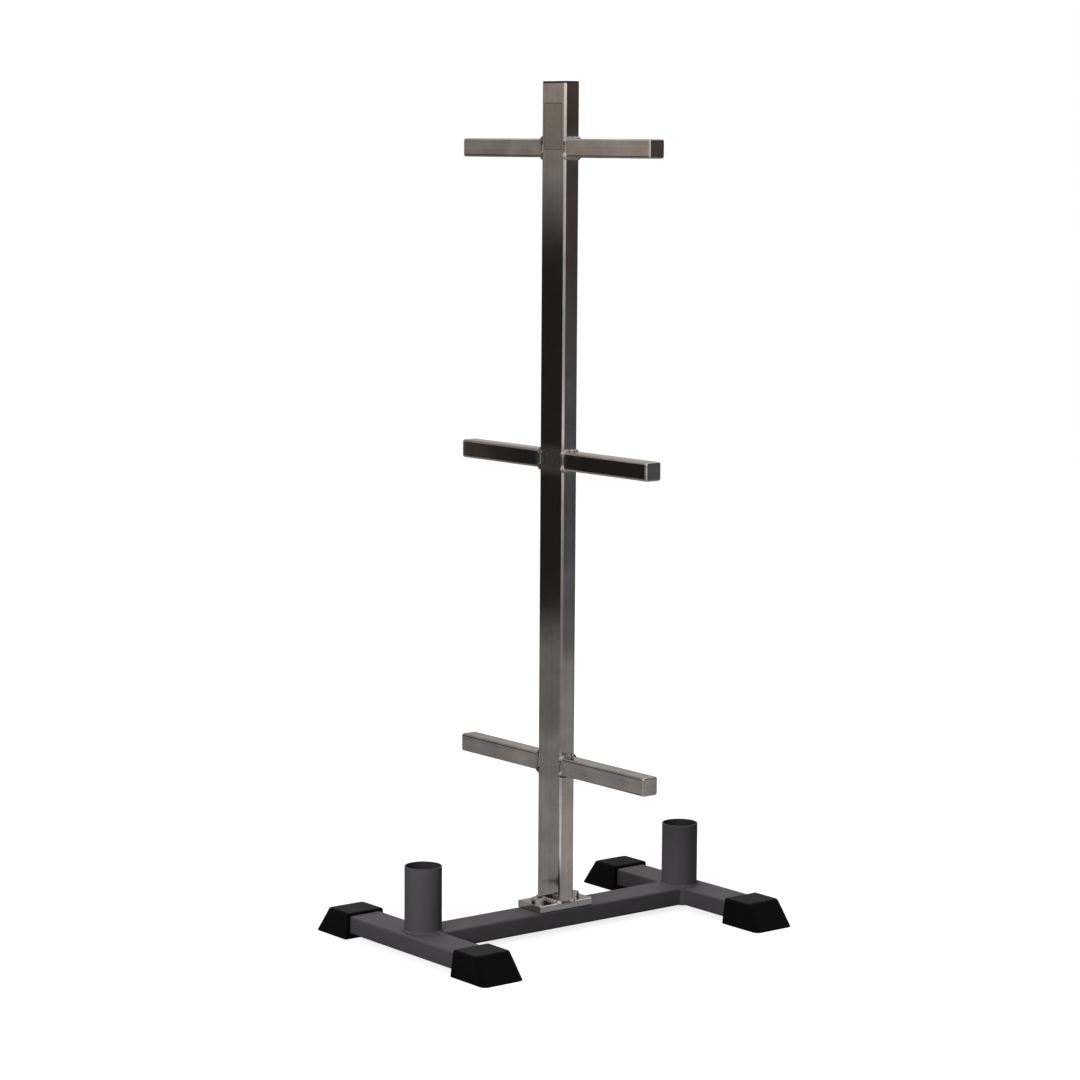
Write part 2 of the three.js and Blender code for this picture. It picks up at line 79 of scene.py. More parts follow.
# Facets of a rounded corner, of a softened edge and round a tube
CORNER_STEPS = 8
EDGE_STEPS = 3
ROUND_SEGMENTS = 96
LEAST_RADIUS = 0.4

# What the post, the arms, the beam and the foot tubes share: cold-drawn tube with its corners
TUBE_WALL = 2.0
TUBE_CORNER_RADIUS = 4.0

# The bolt holes in the mounting plate and in the beam, a little wider than an M12 bolt
BOLT_HOLE_RADIUS = 6.75

# The highest value of an sRGB channel, and the two stretches of the curve
SRGB_TOP = 255
SRGB_STRAIGHT_END = 0.04045
SRGB_STRAIGHT_SLOPE = 12.92
SRGB_OFFSET = 0.055
SRGB_POWER = 2.4

# The values between which nearly all of a noise lies
NOISE_LOW = 0.3
NOISE_HIGH = 0.7

# The room's sides, in degrees counter-clockwise from +X, and a rise past its floor and top
ALL_ROUND = (-180.0, 180.0)
OPEN_SIDE = (160.0, 290.0)
LEFT_SIDE = (60.0, 158.0)
RIGHT_SIDE = (292.0, 390.0)
FAR_SIDE = (20.0, 78.0)
ENDLESS = 9000.0

Point = tuple[float, float]
Ring = list[Vector]
Colour = tuple[float, float, float, float]


class Axis(Enum):
    """An axis of the frame, by its number."""

    X = 0
    Y = 1
    Z = 2


class Side(Enum):
    """The two ends of the base beam, with their direction along X."""

    LEFT = -1
    RIGHT = 1


class End(Enum):
    """The two directions of the arms and foot tubes, along Y."""

    FRONT = -1
    BACK = 1


class Level(Enum):
    """The three heights that carry a pair of arms."""

    LOW = 0
    MIDDLE = 1
    TOP = 2


class Relief(Enum):
    """The pattern that a finish's relief follows, by its texture node."""

    CLOUDS = "TexNoise"
    CELLS = "TexVoronoi"


def node_name(piece: str, *places: Enum) -> str:
    """Name a repeated piece by its places, such as plate_arm_top_front."""
    return "_".join([piece, *(place.name.lower() for place in places)])


@dataclass(frozen=True)
class Box:
    """The space that a node of the frame takes, in millimetres."""

    low: Vector
    high: Vector

    @classmethod
    def of(cls, piece: str, *places: Enum) -> "Box":
        """Measure the node of a piece at its places."""
        low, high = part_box(node_name(piece, *places))
        return cls(low / MM, high / MM)

    @property
    def size(self) -> Vector:
        """The box's three lengths."""
        return self.high - self.low

    @property
    def middle(self) -> Vector:
        """The box's centre."""
        return (self.high + self.low) / 2


def linear_colour(hex_code: str) -> Colour:
    """Turn an sRGB colour into the linear one that shaders take.

    Args:
        hex_code: The colour as "#rrggbb".

    Returns:
        Linear red, green and blue, and an alpha of 1.
    """
    channels = [channel / SRGB_TOP for channel in bytes.fromhex(hex_code[1:])]
    linear = [
        channel / SRGB_STRAIGHT_SLOPE
        if channel <= SRGB_STRAIGHT_END
        else ((channel + SRGB_OFFSET) / (1 + SRGB_OFFSET)) ** SRGB_POWER
        for channel in channels
    ]
    return (*linear, 1.0)


def smooth_step(share: float) -> float:
    """Ease a share from 0 to 1, and hold it there outside."""
    share = min(max(share, 0.0), 1.0)
    return share * share * (3 - 2 * share)


def polar(reach: float, angle: float, height: float = 0.0) -> Vector:
    """The point at a reach from the Z axis, at an angle and a height."""
    return Vector((reach * math.cos(angle), reach * math.sin(angle), height))


def shifted(x: float = 0, y: float = 0, z: float = 0) -> Matrix:
    """Move by a distance along each axis."""
    return Matrix.Translation((x, y, z))


def turned(angle: float, axis: Axis = Axis.Z) -> Matrix:
    """Turn by an angle about an axis."""
    return Matrix.Rotation(angle, MATRIX_SIZE, axis.name)


def along_x(sign: int) -> Matrix:
    """Lay what stands along +Z up or down the X axis."""
    return turned(sign * QUARTER_TURN, Axis.Y)


def along_y(sign: int) -> Matrix:
    """Lay what stands along +Z up or down the Y axis."""
    return turned(-sign * QUARTER_TURN, Axis.X)


def add_object(name: str, data: ID) -> Object:
    """Add an object to the scene.

    Args:
        name: The object's name.
        data: Its mesh, lamp or camera.

    Returns:
        The object.
    """
    added = bpy.data.objects.new(name, data)
    bpy.context.scene.collection.objects.link(added)
    return added


def emptied_tree(owner: ID) -> NodeTree:
    """Give a material or a world an empty node tree.

    Args:
        owner: The material or world.

    Returns:
        Its node tree.
    """
    owner.use_nodes = True
    owner.node_tree.nodes.clear()
    return owner.node_tree


def add_node(
    tree: NodeTree, kind: str, inputs: dict[str | int, object] | None = None, **settings: object
) -> Node:
    """Add one shader node with its settings, values and links.

    Args:
        tree: The node tree that gets the node.
        kind: The node's type, such as "TexNoise", without its common prefix.
        inputs: What each input takes, by name or number: a value, an output to link, or a
            node, which links its first output that is in use.
        settings: The node's own properties.

    Returns:
        The new node.
    """
    node = tree.nodes.new(f"ShaderNode{kind}")
    for name, value in settings.items():
        setattr(node, name, value)
    for name, value in (inputs or {}).items():
        if isinstance(value, Node):
            value = next(output for output in value.outputs if output.enabled)
        if isinstance(value, NodeSocket):
            tree.links.new(value, node.inputs[name])
        else:
            node.inputs[name].default_value = value
    return node


@dataclass
class Draft:
    """The points and faces of a piece that is being built, in millimetres."""

    points: list[Vector]
    faces: list[tuple[int, ...]]

    @classmethod
    def loft(cls, rings: Sequence[Ring], looped: bool = False) -> "Draft":
        """Build a closed surface through rings of as many points.

        Args:
            rings: The rings, each counter-clockwise seen from the last ring's end.
            looped: Whether the last ring joins the first; otherwise both get a flat face.

        Returns:
            The surface.
        """
        count = len(rings[0])
        faces = []
        for row in range(len(rings) if looped else len(rings) - 1):
            low = row * count
            high = (row + 1) % len(rings) * count
            for here in range(count):
                after = (here + 1) % count
                faces.append((low + here, low + after, high + after, high + here))
        if not looped:
            faces += [tuple(reversed(range(count))), tuple(range(high, high + count))]
        return cls([point for ring in rings for point in ring], faces)

    def moved(self, matrix: Matrix) -> "Draft":
        """The same draft turned and moved by a matrix."""
        return Draft([matrix @ point for point in self.points], self.faces)

    def mesh(self, name: str) -> Mesh:
        """Make the mesh, in metres.

        Args:
            name: The mesh's name.

        Returns:
            The mesh.
        """
        mesh = bpy.data.meshes.new(name)
        mesh.from_pydata([point * MM for point in self.points], [], self.faces)
        mesh.update()
        return mesh


def corner_ring(corners: Sequence[tuple[float, float, float]], height: float) -> Ring:
    """Draw a level ring with rounded corners.

    Args:
        corners: Each corner's centre and radius, counter-clockwise from the one at +X and +Y.
        height: The ring's height.

    Returns:
        The ring's points.
    """
    return [
        Vector((x, y, height)) + polar(radius, (quarter + step / CORNER_STEPS) * QUARTER_TURN)
        for quarter, (x, y, radius) in enumerate(corners)
        for step in range(CORNER_STEPS + 1)
    ]


@dataclass(frozen=True)
class Station:
    """A place on an outline, its outward direction and its distance along the outline."""

    point: Vector
    outward: Vector
    distance: float


@dataclass(frozen=True)
class Rectangle:
    """The outline of a section with rounded corners, in the XY plane round the origin."""

    width: float
    depth: float
    radius: float = TUBE_CORNER_RADIUS

    def corners(self, inset: float = 0) -> list[tuple[float, float, float]]:
        """The outline's corners, drawn in by an inset.

        Args:
            inset: How far the outline is drawn in.

        Returns:
            The centre and radius of each corner, counter-clockwise.
        """
        radius = max(self.radius - inset, LEAST_RADIUS)
        x = self.width / 2 - inset - radius
        y = self.depth / 2 - inset - radius
        return [(x, y, radius), (-x, y, radius), (-x, -y, radius), (x, -y, radius)]

    def ring(self, inset: float, height: float) -> Ring:
        """The outline drawn in by an inset and lifted to a height."""
        return corner_ring(self.corners(inset), height)

    def stations(self, spacing: float) -> list[Station]:
        """Places along the outline, with at least two on each corner.

        Args:
            spacing: About how far they are apart.

        Returns:
            The stations, counter-clockwise.
        """
        stations = []
        distance = 0.0
        centres = [Vector((x, y, 0)) for x, y, _ in self.corners()]
        for number, centre in enumerate(centres):
            start = number * QUARTER_TURN
            arc = self.radius * QUARTER_TURN
            steps = max(round(arc / spacing), 2)
            for step in range(steps):
                outward = polar(1, start + QUARTER_TURN * step / steps)
                point = centre + outward * self.radius
                stations.append(Station(point, outward, distance + arc * step / steps))
            distance += arc
            outward = polar(1, start + QUARTER_TURN)
            following = centres[(number + 1) % len(centres)]
            straight = (following - centre).length
            steps = max(round(straight / spacing), 1)
            for share in (step / steps for step in range(steps)):
                point = centre.lerp(following, share) + outward * self.radius
                stations.append(Station(point, outward, distance + straight * share))
            distance += straight
        return stations


@dataclass(frozen=True)
class Circle:
    """The outline of a round section, in the XY plane round the origin."""

    radius: float
    segments: int = ROUND_SEGMENTS

    def ring(self, inset: float, height: float) -> Ring:
        """The circle drawn in by an inset and lifted to a height."""
        angles = [FULL_TURN * step / self.segments for step in range(self.segments)]
        return [polar(self.radius - inset, angle, height) for angle in angles]

    def station(self, share: float) -> Station:
        """The place at a share of the way round."""
        outward = polar(1, FULL_TURN * share)
        return Station(outward * self.radius, outward, FULL_TURN * self.radius * share)

    def stations(self, spacing: float) -> list[Station]:
        """Places along the circle, counter-clockwise and about as far apart as the spacing."""
        count = round(FULL_TURN * self.radius / spacing)
        return [self.station(step / count) for step in range(count)]


Outline = Rectangle | Circle


def edge_arc(radius: float, steps: int = EDGE_STEPS) -> list[Point]:
    """The insets and drops of a rounded edge, from where it leaves the wall to the face."""
    angles = [QUARTER_TURN * step / steps for step in range(steps + 1)]
    return [(radius * (1 - math.cos(angle)), radius * (1 - math.sin(angle))) for angle in angles]


def prism(outline: Outline, low: float, high: float) -> Draft:
    """A solid with straight walls between two heights."""
    return Draft.loft([outline.ring(0, low), outline.ring(0, high)])


def tube(outline: Outline, length: float, edge: float, wall: float = TUBE_WALL) -> Draft:
    """Build a tube that stands on z = 0 and is open at both ends.

    Args:
        outline: The tube's outer outline.
        length: Its length along Z.
        edge: The radius that softens the edges of both ends.
        wall: The thickness of its wall.

    Returns:
        The tube as one closed wall.
    """
    arc = edge_arc(edge)
    mirrored = list(reversed(arc))
    profile = [(inset, length - drop) for inset, drop in arc]
    profile += [(wall - inset, length - drop) for inset, drop in mirrored]
    profile += [(wall - inset, drop) for inset, drop in arc] + mirrored
    return Draft.loft([outline.ring(inset, height) for inset, height in profile], looped=True)


def plate(outline: Outline, thickness: float, lower: list[Point], upper: list[Point]) -> Draft:
    """A solid plate on z = 0, with the insets and drops of its lower and of its upper edge."""
    rings = [outline.ring(inset, drop) for inset, drop in reversed(lower)]
    return Draft.loft(rings + [outline.ring(inset, thickness - drop) for inset, drop in upper])


def bolt_holes(low: float, high: float) -> list[Draft]:
    """The holes of the two mounting bolts between two heights, as solids to cut."""
    places = [shifted(Box.of("mounting_bolt", side).middle.x) for side in Side]
    return [prism(Circle(BOLT_HOLE_RADIUS), low, high).moved(place) for place in places]


def cut_away(body: Mesh, tools: Sequence[Draft]) -> Mesh:
    """Cut solids out of a mesh.

    Args:
        body: The mesh to cut, in metres.
        tools: The solids to cut out of it.

    Returns:
        A new mesh with the solids cut away.
    """
    target = add_object("cutting_target", body)
    cutters = [add_object("cutter", tool.mesh("cutter")) for tool in tools]
    for cutter in cutters:
        modifier = target.modifiers.new(cutter.name, "BOOLEAN")
        modifier.operation = "DIFFERENCE"
        modifier.solver = "EXACT"
        modifier.object = cutter
    depsgraph = bpy.context.evaluated_depsgraph_get()
    result = bpy.data.meshes.new_from_object(target.evaluated_get(depsgraph))
    for used in [target, *cutters]:
        bpy.data.objects.remove(used)
    return result


@dataclass(frozen=True)
class Finish:
    """A finish: the name of its material, and the slot that it belongs to."""

    name: str
    slot: str

    def material(self) -> Material:
        """Make the finish's material, the first time that it is asked for.

        Returns:
            The material.
        """
        made = bpy.data.materials.get(self.name)
        if made is None:
            made = bpy.data.materials.new(self.name)
            tree = emptied_tree(made)
            add_node(tree, "OutputMaterial", {"Surface": self.shade(tree)})
        return made

    def shade(self, tree: NodeTree) -> Node:
        """Add the finish's nodes and return the shader at their end."""
        raise NotImplementedError


@dataclass(frozen=True)
class PlatedSteel(Finish):
    """Drawn steel tube and flat bar, linished, then plated with bright nickel and chromium.

    The plating mirrors the room a little softly and warmly. Drawing leaves faint streaks
    along the tube, the sheet keeps slow waves that bend what it mirrors, and the plating
    is hazier round the welds, which can't be polished as well as the open tube.
    """

    slot: str = "plated_steel"
    colour: str = "#cfcac6"
    dull_colour: str = "#aea8a3"
    grain: Axis = Axis.Z
    least_roughness: float = 0.06
    most_roughness: float = 0.13
    weld_roughness: float = 0.16
    # A linished streak is under 0.1 mm wide, so it is drawn far coarser to show
    streak_width: float = 2.4
    streak_length: float = 340.0
    streak_depth: float = 0.006
    streak_detail: float = 3.0
    wave_width: float = 26.0
    wave_length: float = 190.0
    wave_depth: float = 0.26
    wave_detail: float = 1.0
    haze_length: float = 45.0
    haze_detail: float = 5.0
    # The share of streaks in the mix that dulls the plating, and the range of that mix
    streak_share: float = 0.5
    mix_low: float = 0.5
    mix_high: float = 1.0
    weld_axis: Axis = Axis.Z
    weld_origin: float = 0.0
    weld_period: float = 1000.0
    weld_place: float = 0.0
    weld_near: float = 15.0
    weld_far: float = 34.0

    def shade(self, tree: NodeTree) -> Node:
        """Add the finish's nodes.

        Args:
            tree: The material's node tree.

        Returns:
            The shader at their end.
        """
        place = add_node(tree, "TexCoord").outputs["Object"]
        streaks = self.drawn_noise(tree, place, self.streak_width, self.streak_length, self.streak_detail)
        waves = self.drawn_noise(tree, place, self.wave_width, self.wave_length, self.wave_detail)
        clouds = {"Vector": place, "Scale": 1 / (self.haze_length * MM), "Detail": self.haze_detail}
        shares = {0: streaks, 1: self.streak_share, 2: add_node(tree, "TexNoise", clouds)}
        mixed = add_node(tree, "Math", shares, operation="MULTIPLY_ADD")
        span = {"Value": mixed, "From Min": self.mix_low, "From Max": self.mix_high}
        tint = add_node(tree, "MapRange", span)
        rough = {"To Min": self.least_roughness, "To Max": self.most_roughness}
        spread = add_node(tree, "MapRange", span | rough)
        near_weld = {0: self.weld_share(tree, place), 1: self.weld_roughness, 2: spread}
        colours = {"Factor": tint, "A": linear_colour(self.colour), "B": linear_colour(self.dull_colour)}
        waved = add_node(tree, "Bump", {"Height": waves, "Distance": self.wave_depth * MM})
        grooves = {"Height": streaks, "Distance": self.streak_depth * MM, "Normal": waved}
        surface = {
            "Base Color": add_node(tree, "Mix", colours, data_type="RGBA"),
            "Metallic": 1.0,
            "Roughness": add_node(tree, "Math", near_weld, operation="MULTIPLY_ADD"),
            "Normal": add_node(tree, "Bump", grooves),
        }
        return add_node(tree, "BsdfPrincipled", surface)

    def drawn_noise(
        self, tree: NodeTree, place: NodeSocket, width: float, length: float, detail: float
    ) -> Node:
        """Add noise that is drawn out along the grain.

        Args:
            tree: The material's node tree.
            place: The point's place in the frame.
            width: How wide the noise is across the grain.
            length: How long it is along the grain.
            detail: How many finer octaves it has.

        Returns:
            The noise node.
        """
        scale = [1 / (width * MM)] * 3
        scale[self.grain.value] = 1 / (length * MM)
        drawn = add_node(tree, "Mapping", {"Vector": place, "Scale": scale})
        return add_node(tree, "TexNoise", {"Vector": drawn, "Scale": 1.0, "Detail": detail})

    def weld_share(self, tree: NodeTree, place: NodeSocket) -> Node:
        """Work out how near a weld each point is.

        Args:
            tree: The material's node tree.
            place: The point's place in the frame.

        Returns:
            The node that gives 0 away from a weld and 1 beside it.
        """
        away = add_node(tree, "SeparateXYZ", {0: place}).outputs[self.weld_axis.value]
        folded = [("SUBTRACT", self.weld_origin), ("PINGPONG", self.weld_period / 2)]
        for operation, value in [*folded, ("SUBTRACT", self.weld_place)]:
            away = add_node(tree, "Math", {0: away, 1: value * MM}, operation=operation)
        distance = add_node(tree, "Math", {0: away}, operation="ABSOLUTE")
        span = {"From Min": self.weld_near * MM, "From Max": self.weld_far * MM}
        fall = {"Value": distance, "To Min": 1.0, "To Max": 0.0}
        return add_node(tree, "MapRange", span | fall, interpolation_type="SMOOTHSTEP")


@dataclass(frozen=True)
class MottledFinish(Finish):
    """A finish whose colour and gloss drift in clouds, over a fine relief."""

    colour: str
    cloud_colour: str
    least_roughness: float
    most_roughness: float
    cloud_width: float
    relief_width: float
    relief_depth: float
    cloud_detail: float = 4.0
    relief_detail: float = 4.0
    relief: Relief = Relief.CLOUDS
    metallic: float = 0.0
    gloss_level: float = 0.5
    bloom: float = 0.0
    bloom_roughness: float = 0.5

    def shade(self, tree: NodeTree) -> Node:
        """Add the finish's nodes.

        Args:
            tree: The material's node tree.

        Returns:
            The shader at their end.
        """
        place = add_node(tree, "TexCoord").outputs["Object"]
        pattern = {"Vector": place, "Scale": 1 / (self.cloud_width * MM), "Detail": self.cloud_detail}
        clouds = add_node(tree, "TexNoise", pattern)
        pattern |= {"Scale": 1 / (self.relief_width * MM), "Detail": self.relief_detail}
        smooth = {"feature": "SMOOTH_F1"} if self.relief is Relief.CELLS else {}
        height = add_node(tree, self.relief.value, pattern, **smooth)
        colours = {"Factor": clouds, "A": linear_colour(self.colour), "B": linear_colour(self.cloud_colour)}
        span = {"Value": clouds, "From Min": NOISE_LOW, "From Max": NOISE_HIGH}
        rough = {"To Min": self.least_roughness, "To Max": self.most_roughness}
        surface = {
            "Base Color": add_node(tree, "Mix", colours, data_type="RGBA"),
            "Metallic": self.metallic,
            "Roughness": add_node(tree, "MapRange", span | rough),
            "Specular IOR Level": self.gloss_level,
            "Sheen Weight": self.bloom,
            "Sheen Roughness": self.bloom_roughness,
            "Normal": add_node(tree, "Bump", {"Height": height, "Distance": self.relief_depth * MM}),
        }
        return add_node(tree, "BsdfPrincipled", surface)


@dataclass(frozen=True)
class PowderCoat(MottledFinish):
    """Steel sprayed with dark charcoal polyester powder and baked.

    It is a satin, even coat. The powder flows out into a faint orange peel, and thick and
    thin places make the gloss a little uneven.
    """

    slot: str = "powder_coat"
    colour: str = "#444244"
    cloud_colour: str = "#4d4b4e"
    least_roughness: float = 0.5
    most_roughness: float = 0.62
    cloud_width: float = 60.0
    # Orange peel is about 1 mm across, and is drawn at twice that to show
    relief_width: float = 2.2
    relief_depth: float = 0.05
    relief_detail: float = 2.0
    gloss_level: float = 0.4


@dataclass(frozen=True)
class Moulded(MottledFinish):
    """Black rubber or plastic, moulded in a tool with an etched grain.

    It is dark and dull. Its bloom is a thin waxy dust that only shows at a grazing view, and
    old mould release leaves paler clouds.
    """

    colour: str = "#060506"
    cloud_colour: str = "#090809"
    least_roughness: float = 0.6
    most_roughness: float = 0.75
    cloud_width: float = 26.0
    cloud_detail: float = 5.0
    # The etched grain is about 0.2 mm, and is drawn five times as coarse to show
    relief: Relief = Relief.CELLS
    relief_width: float = 1.1
    relief_depth: float = 0.04
    relief_detail: float = 0.0
    gloss_level: float = 0.04
    bloom: float = 0.11
    bloom_roughness: float = 0.4


@dataclass(frozen=True)
class MottledMetal(MottledFinish):
    """Forged steel, zinc plated or left plain, or a thin metal film.

    Forging and the acid bath leave a fine mottle that breaks up the metal's gloss.
    """

    colour: str = "#dedfe0"
    cloud_colour: str = "#b9b8b6"
    least_roughness: float = 0.12
    most_roughness: float = 0.26
    cloud_width: float = 1.6
    relief_width: float = 1.6
    relief_depth: float = 0.02
    metallic: float = 1.0


# The plating on a weld bead is duller and hazier than on the open tube
WELD_STEEL = PlatedSteel(
    "nickel-chrome plated weld", colour="#bcb5af", dull_colour="#8c847e",
    least_roughness=0.18, most_roughness=0.34,
)


def add_piece(name: str, shape: Draft | Mesh, finish: Finish, node: str | None = None) -> Object:
    """Add a finished piece to the scene, on the body that carries it.

    Args:
        name: The piece's name.
        shape: Its draft in millimetres, or a mesh in metres.
        finish: What it is dressed in.
        node: The frame's node that it stands for, if it has one.

    Returns:
        The new object.
    """
    mesh = shape.mesh(name) if isinstance(shape, Draft) else shape
    mesh.name = name
    mesh.shade_smooth()
    mesh.set_sharp_from_angle(angle=SHARP_ANGLE)
    mesh.materials.clear()
    mesh.materials.append(finish.material())
    piece = add_object(name, mesh)
    normals = piece.modifiers.new("flat_faces_stay_flat", "WEIGHTED_NORMAL")
    normals.weight = FACE_WEIGHT
    normals.keep_sharp = True
    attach(piece, BODY)
    if node:
        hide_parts(node)
    log.info("%s: %d faces in %s", name, len(mesh.polygons), finish.name)
    return piece


@dataclass(frozen=True)
class WeldBead:
    """A bead laid by hand round the foot of a tube, with the ripples of its weld pool.

    Where the tube meets a face that reaches past it the bead is a fillet. Where both lie
    flush it is a low seam that closes the groove between them. The bead's outline lies in
    the XY plane, and the tube rises along +Z.
    """

    leg: float = 4.0
    crown: float = 0.5
    seam_rise: float = 2.4
    seam_reach: float = 4.6
    seam_crown: float = 0.8
    sunk: float = 0.35
    seam_sunk: float = 1.6
    fillet_axis: Axis | None = None
    seam_end_share: float = 0.35
    fillet_start_share: float = 0.85
    # The weld pool's rings are about 1.2 mm apart, and are drawn at twice that to show
    ripple_pitch: float = 2.4
    ripple_height: float = 0.32
    ripple_bow: float = 0.55
    stations_per_ripple: int = 6
    section_steps: int = 9
    unevenness: float = 0.12
    seed: int = 1

    def fillet_share(self, point: Vector, reach: Vector) -> float:
        """Say how much of a fillet the bead is at a point of its outline.

        Args:
            point: The point.
            reach: How far the outline reaches along each axis.

        Returns:
            A share from 0 for a seam to 1 for a fillet.
        """
        if self.fillet_axis is None:
            return 1.0
        axis = self.fillet_axis.value
        past_seam = abs(point[axis]) / reach[axis] - self.seam_end_share
        return smooth_step(past_seam / (self.fillet_start_share - self.seam_end_share))

    def section(self, fillet: float, size: float, along: float, heights: Sequence[float]) -> list[Point]:
        """Draw the bead's section, as distances outward and up from the corner.

        Args:
            fillet: How much of a fillet it is, from 0 to 1.
            size: How large this stretch of the bead is laid, near 1.
            along: The section's place along the bead, counted in the weld pool's rings.
            heights: How high each ring is, near 1.

        Returns:
            The section's points: across the bead's face, then the one sunk in the metal.
        """
        seam = 1 - fillet
        top = Vector((-self.sunk, self.leg * fillet + self.seam_rise * seam)) * size
        foot = Vector((self.leg * fillet, 0)) * size
        foot -= Vector((self.sunk * seam, self.sunk * fillet + self.seam_reach * seam))
        crown = (self.crown * fillet + self.seam_crown * seam) * size
        across = foot - top
        normal = Vector((-across.y, across.x)).normalized()
        points = []
        for share in (step / self.section_steps for step in range(self.section_steps + 1)):
            phase = along + self.ripple_bow * (2 * share - 1) ** 2
            lobe = 1 - (2 * (phase % 1) - 1) ** 2
            swell = self.ripple_height * heights[int(phase) % len(heights)] * lobe
            bulge = 4 * share * (1 - share)
            points.append(top.lerp(foot, share) + normal * (crown * bulge + swell * math.sqrt(bulge)))
        sink = self.sunk * fillet + self.seam_sunk * seam
        return [*map(tuple, points), (-sink, -sink)]

    def build(self, outline: Outline) -> Draft:
        """Lay the bead round an outline.

        Args:
            outline: The tube's outer outline.

        Returns:
            The bead as one closed ring.
        """
        chance = random.Random(self.seed)
        stations = outline.stations(self.ripple_pitch / self.stations_per_ripple)
        points = [station.point for station in stations]
        reach = Vector((max(point.x for point in points), max(point.y for point in points), 1))
        around = stations[-1].distance + (points[0] - points[-1]).length
        count = round(around / self.ripple_pitch)
        heights = [chance.uniform(1 - 2 * self.unevenness, 1 + 2 * self.unevenness) for _ in range(count)]
        sizes = [chance.uniform(1 - self.unevenness, 1 + self.unevenness) for _ in range(count)]
        rings = []
        for station in stations:
            along = station.distance / around * count
            here = int(along) % count
            share = smooth_step(along % 1)
            size = sizes[here] * (1 - share) + sizes[(here + 1) % count] * share
            section = self.section(self.fillet_share(station.point, reach), size, along, heights)
            rings.append([station.point + station.outward * out + Vector((0, 0, up)) for out, up in section])
        return Draft.loft(rings, looped=True)


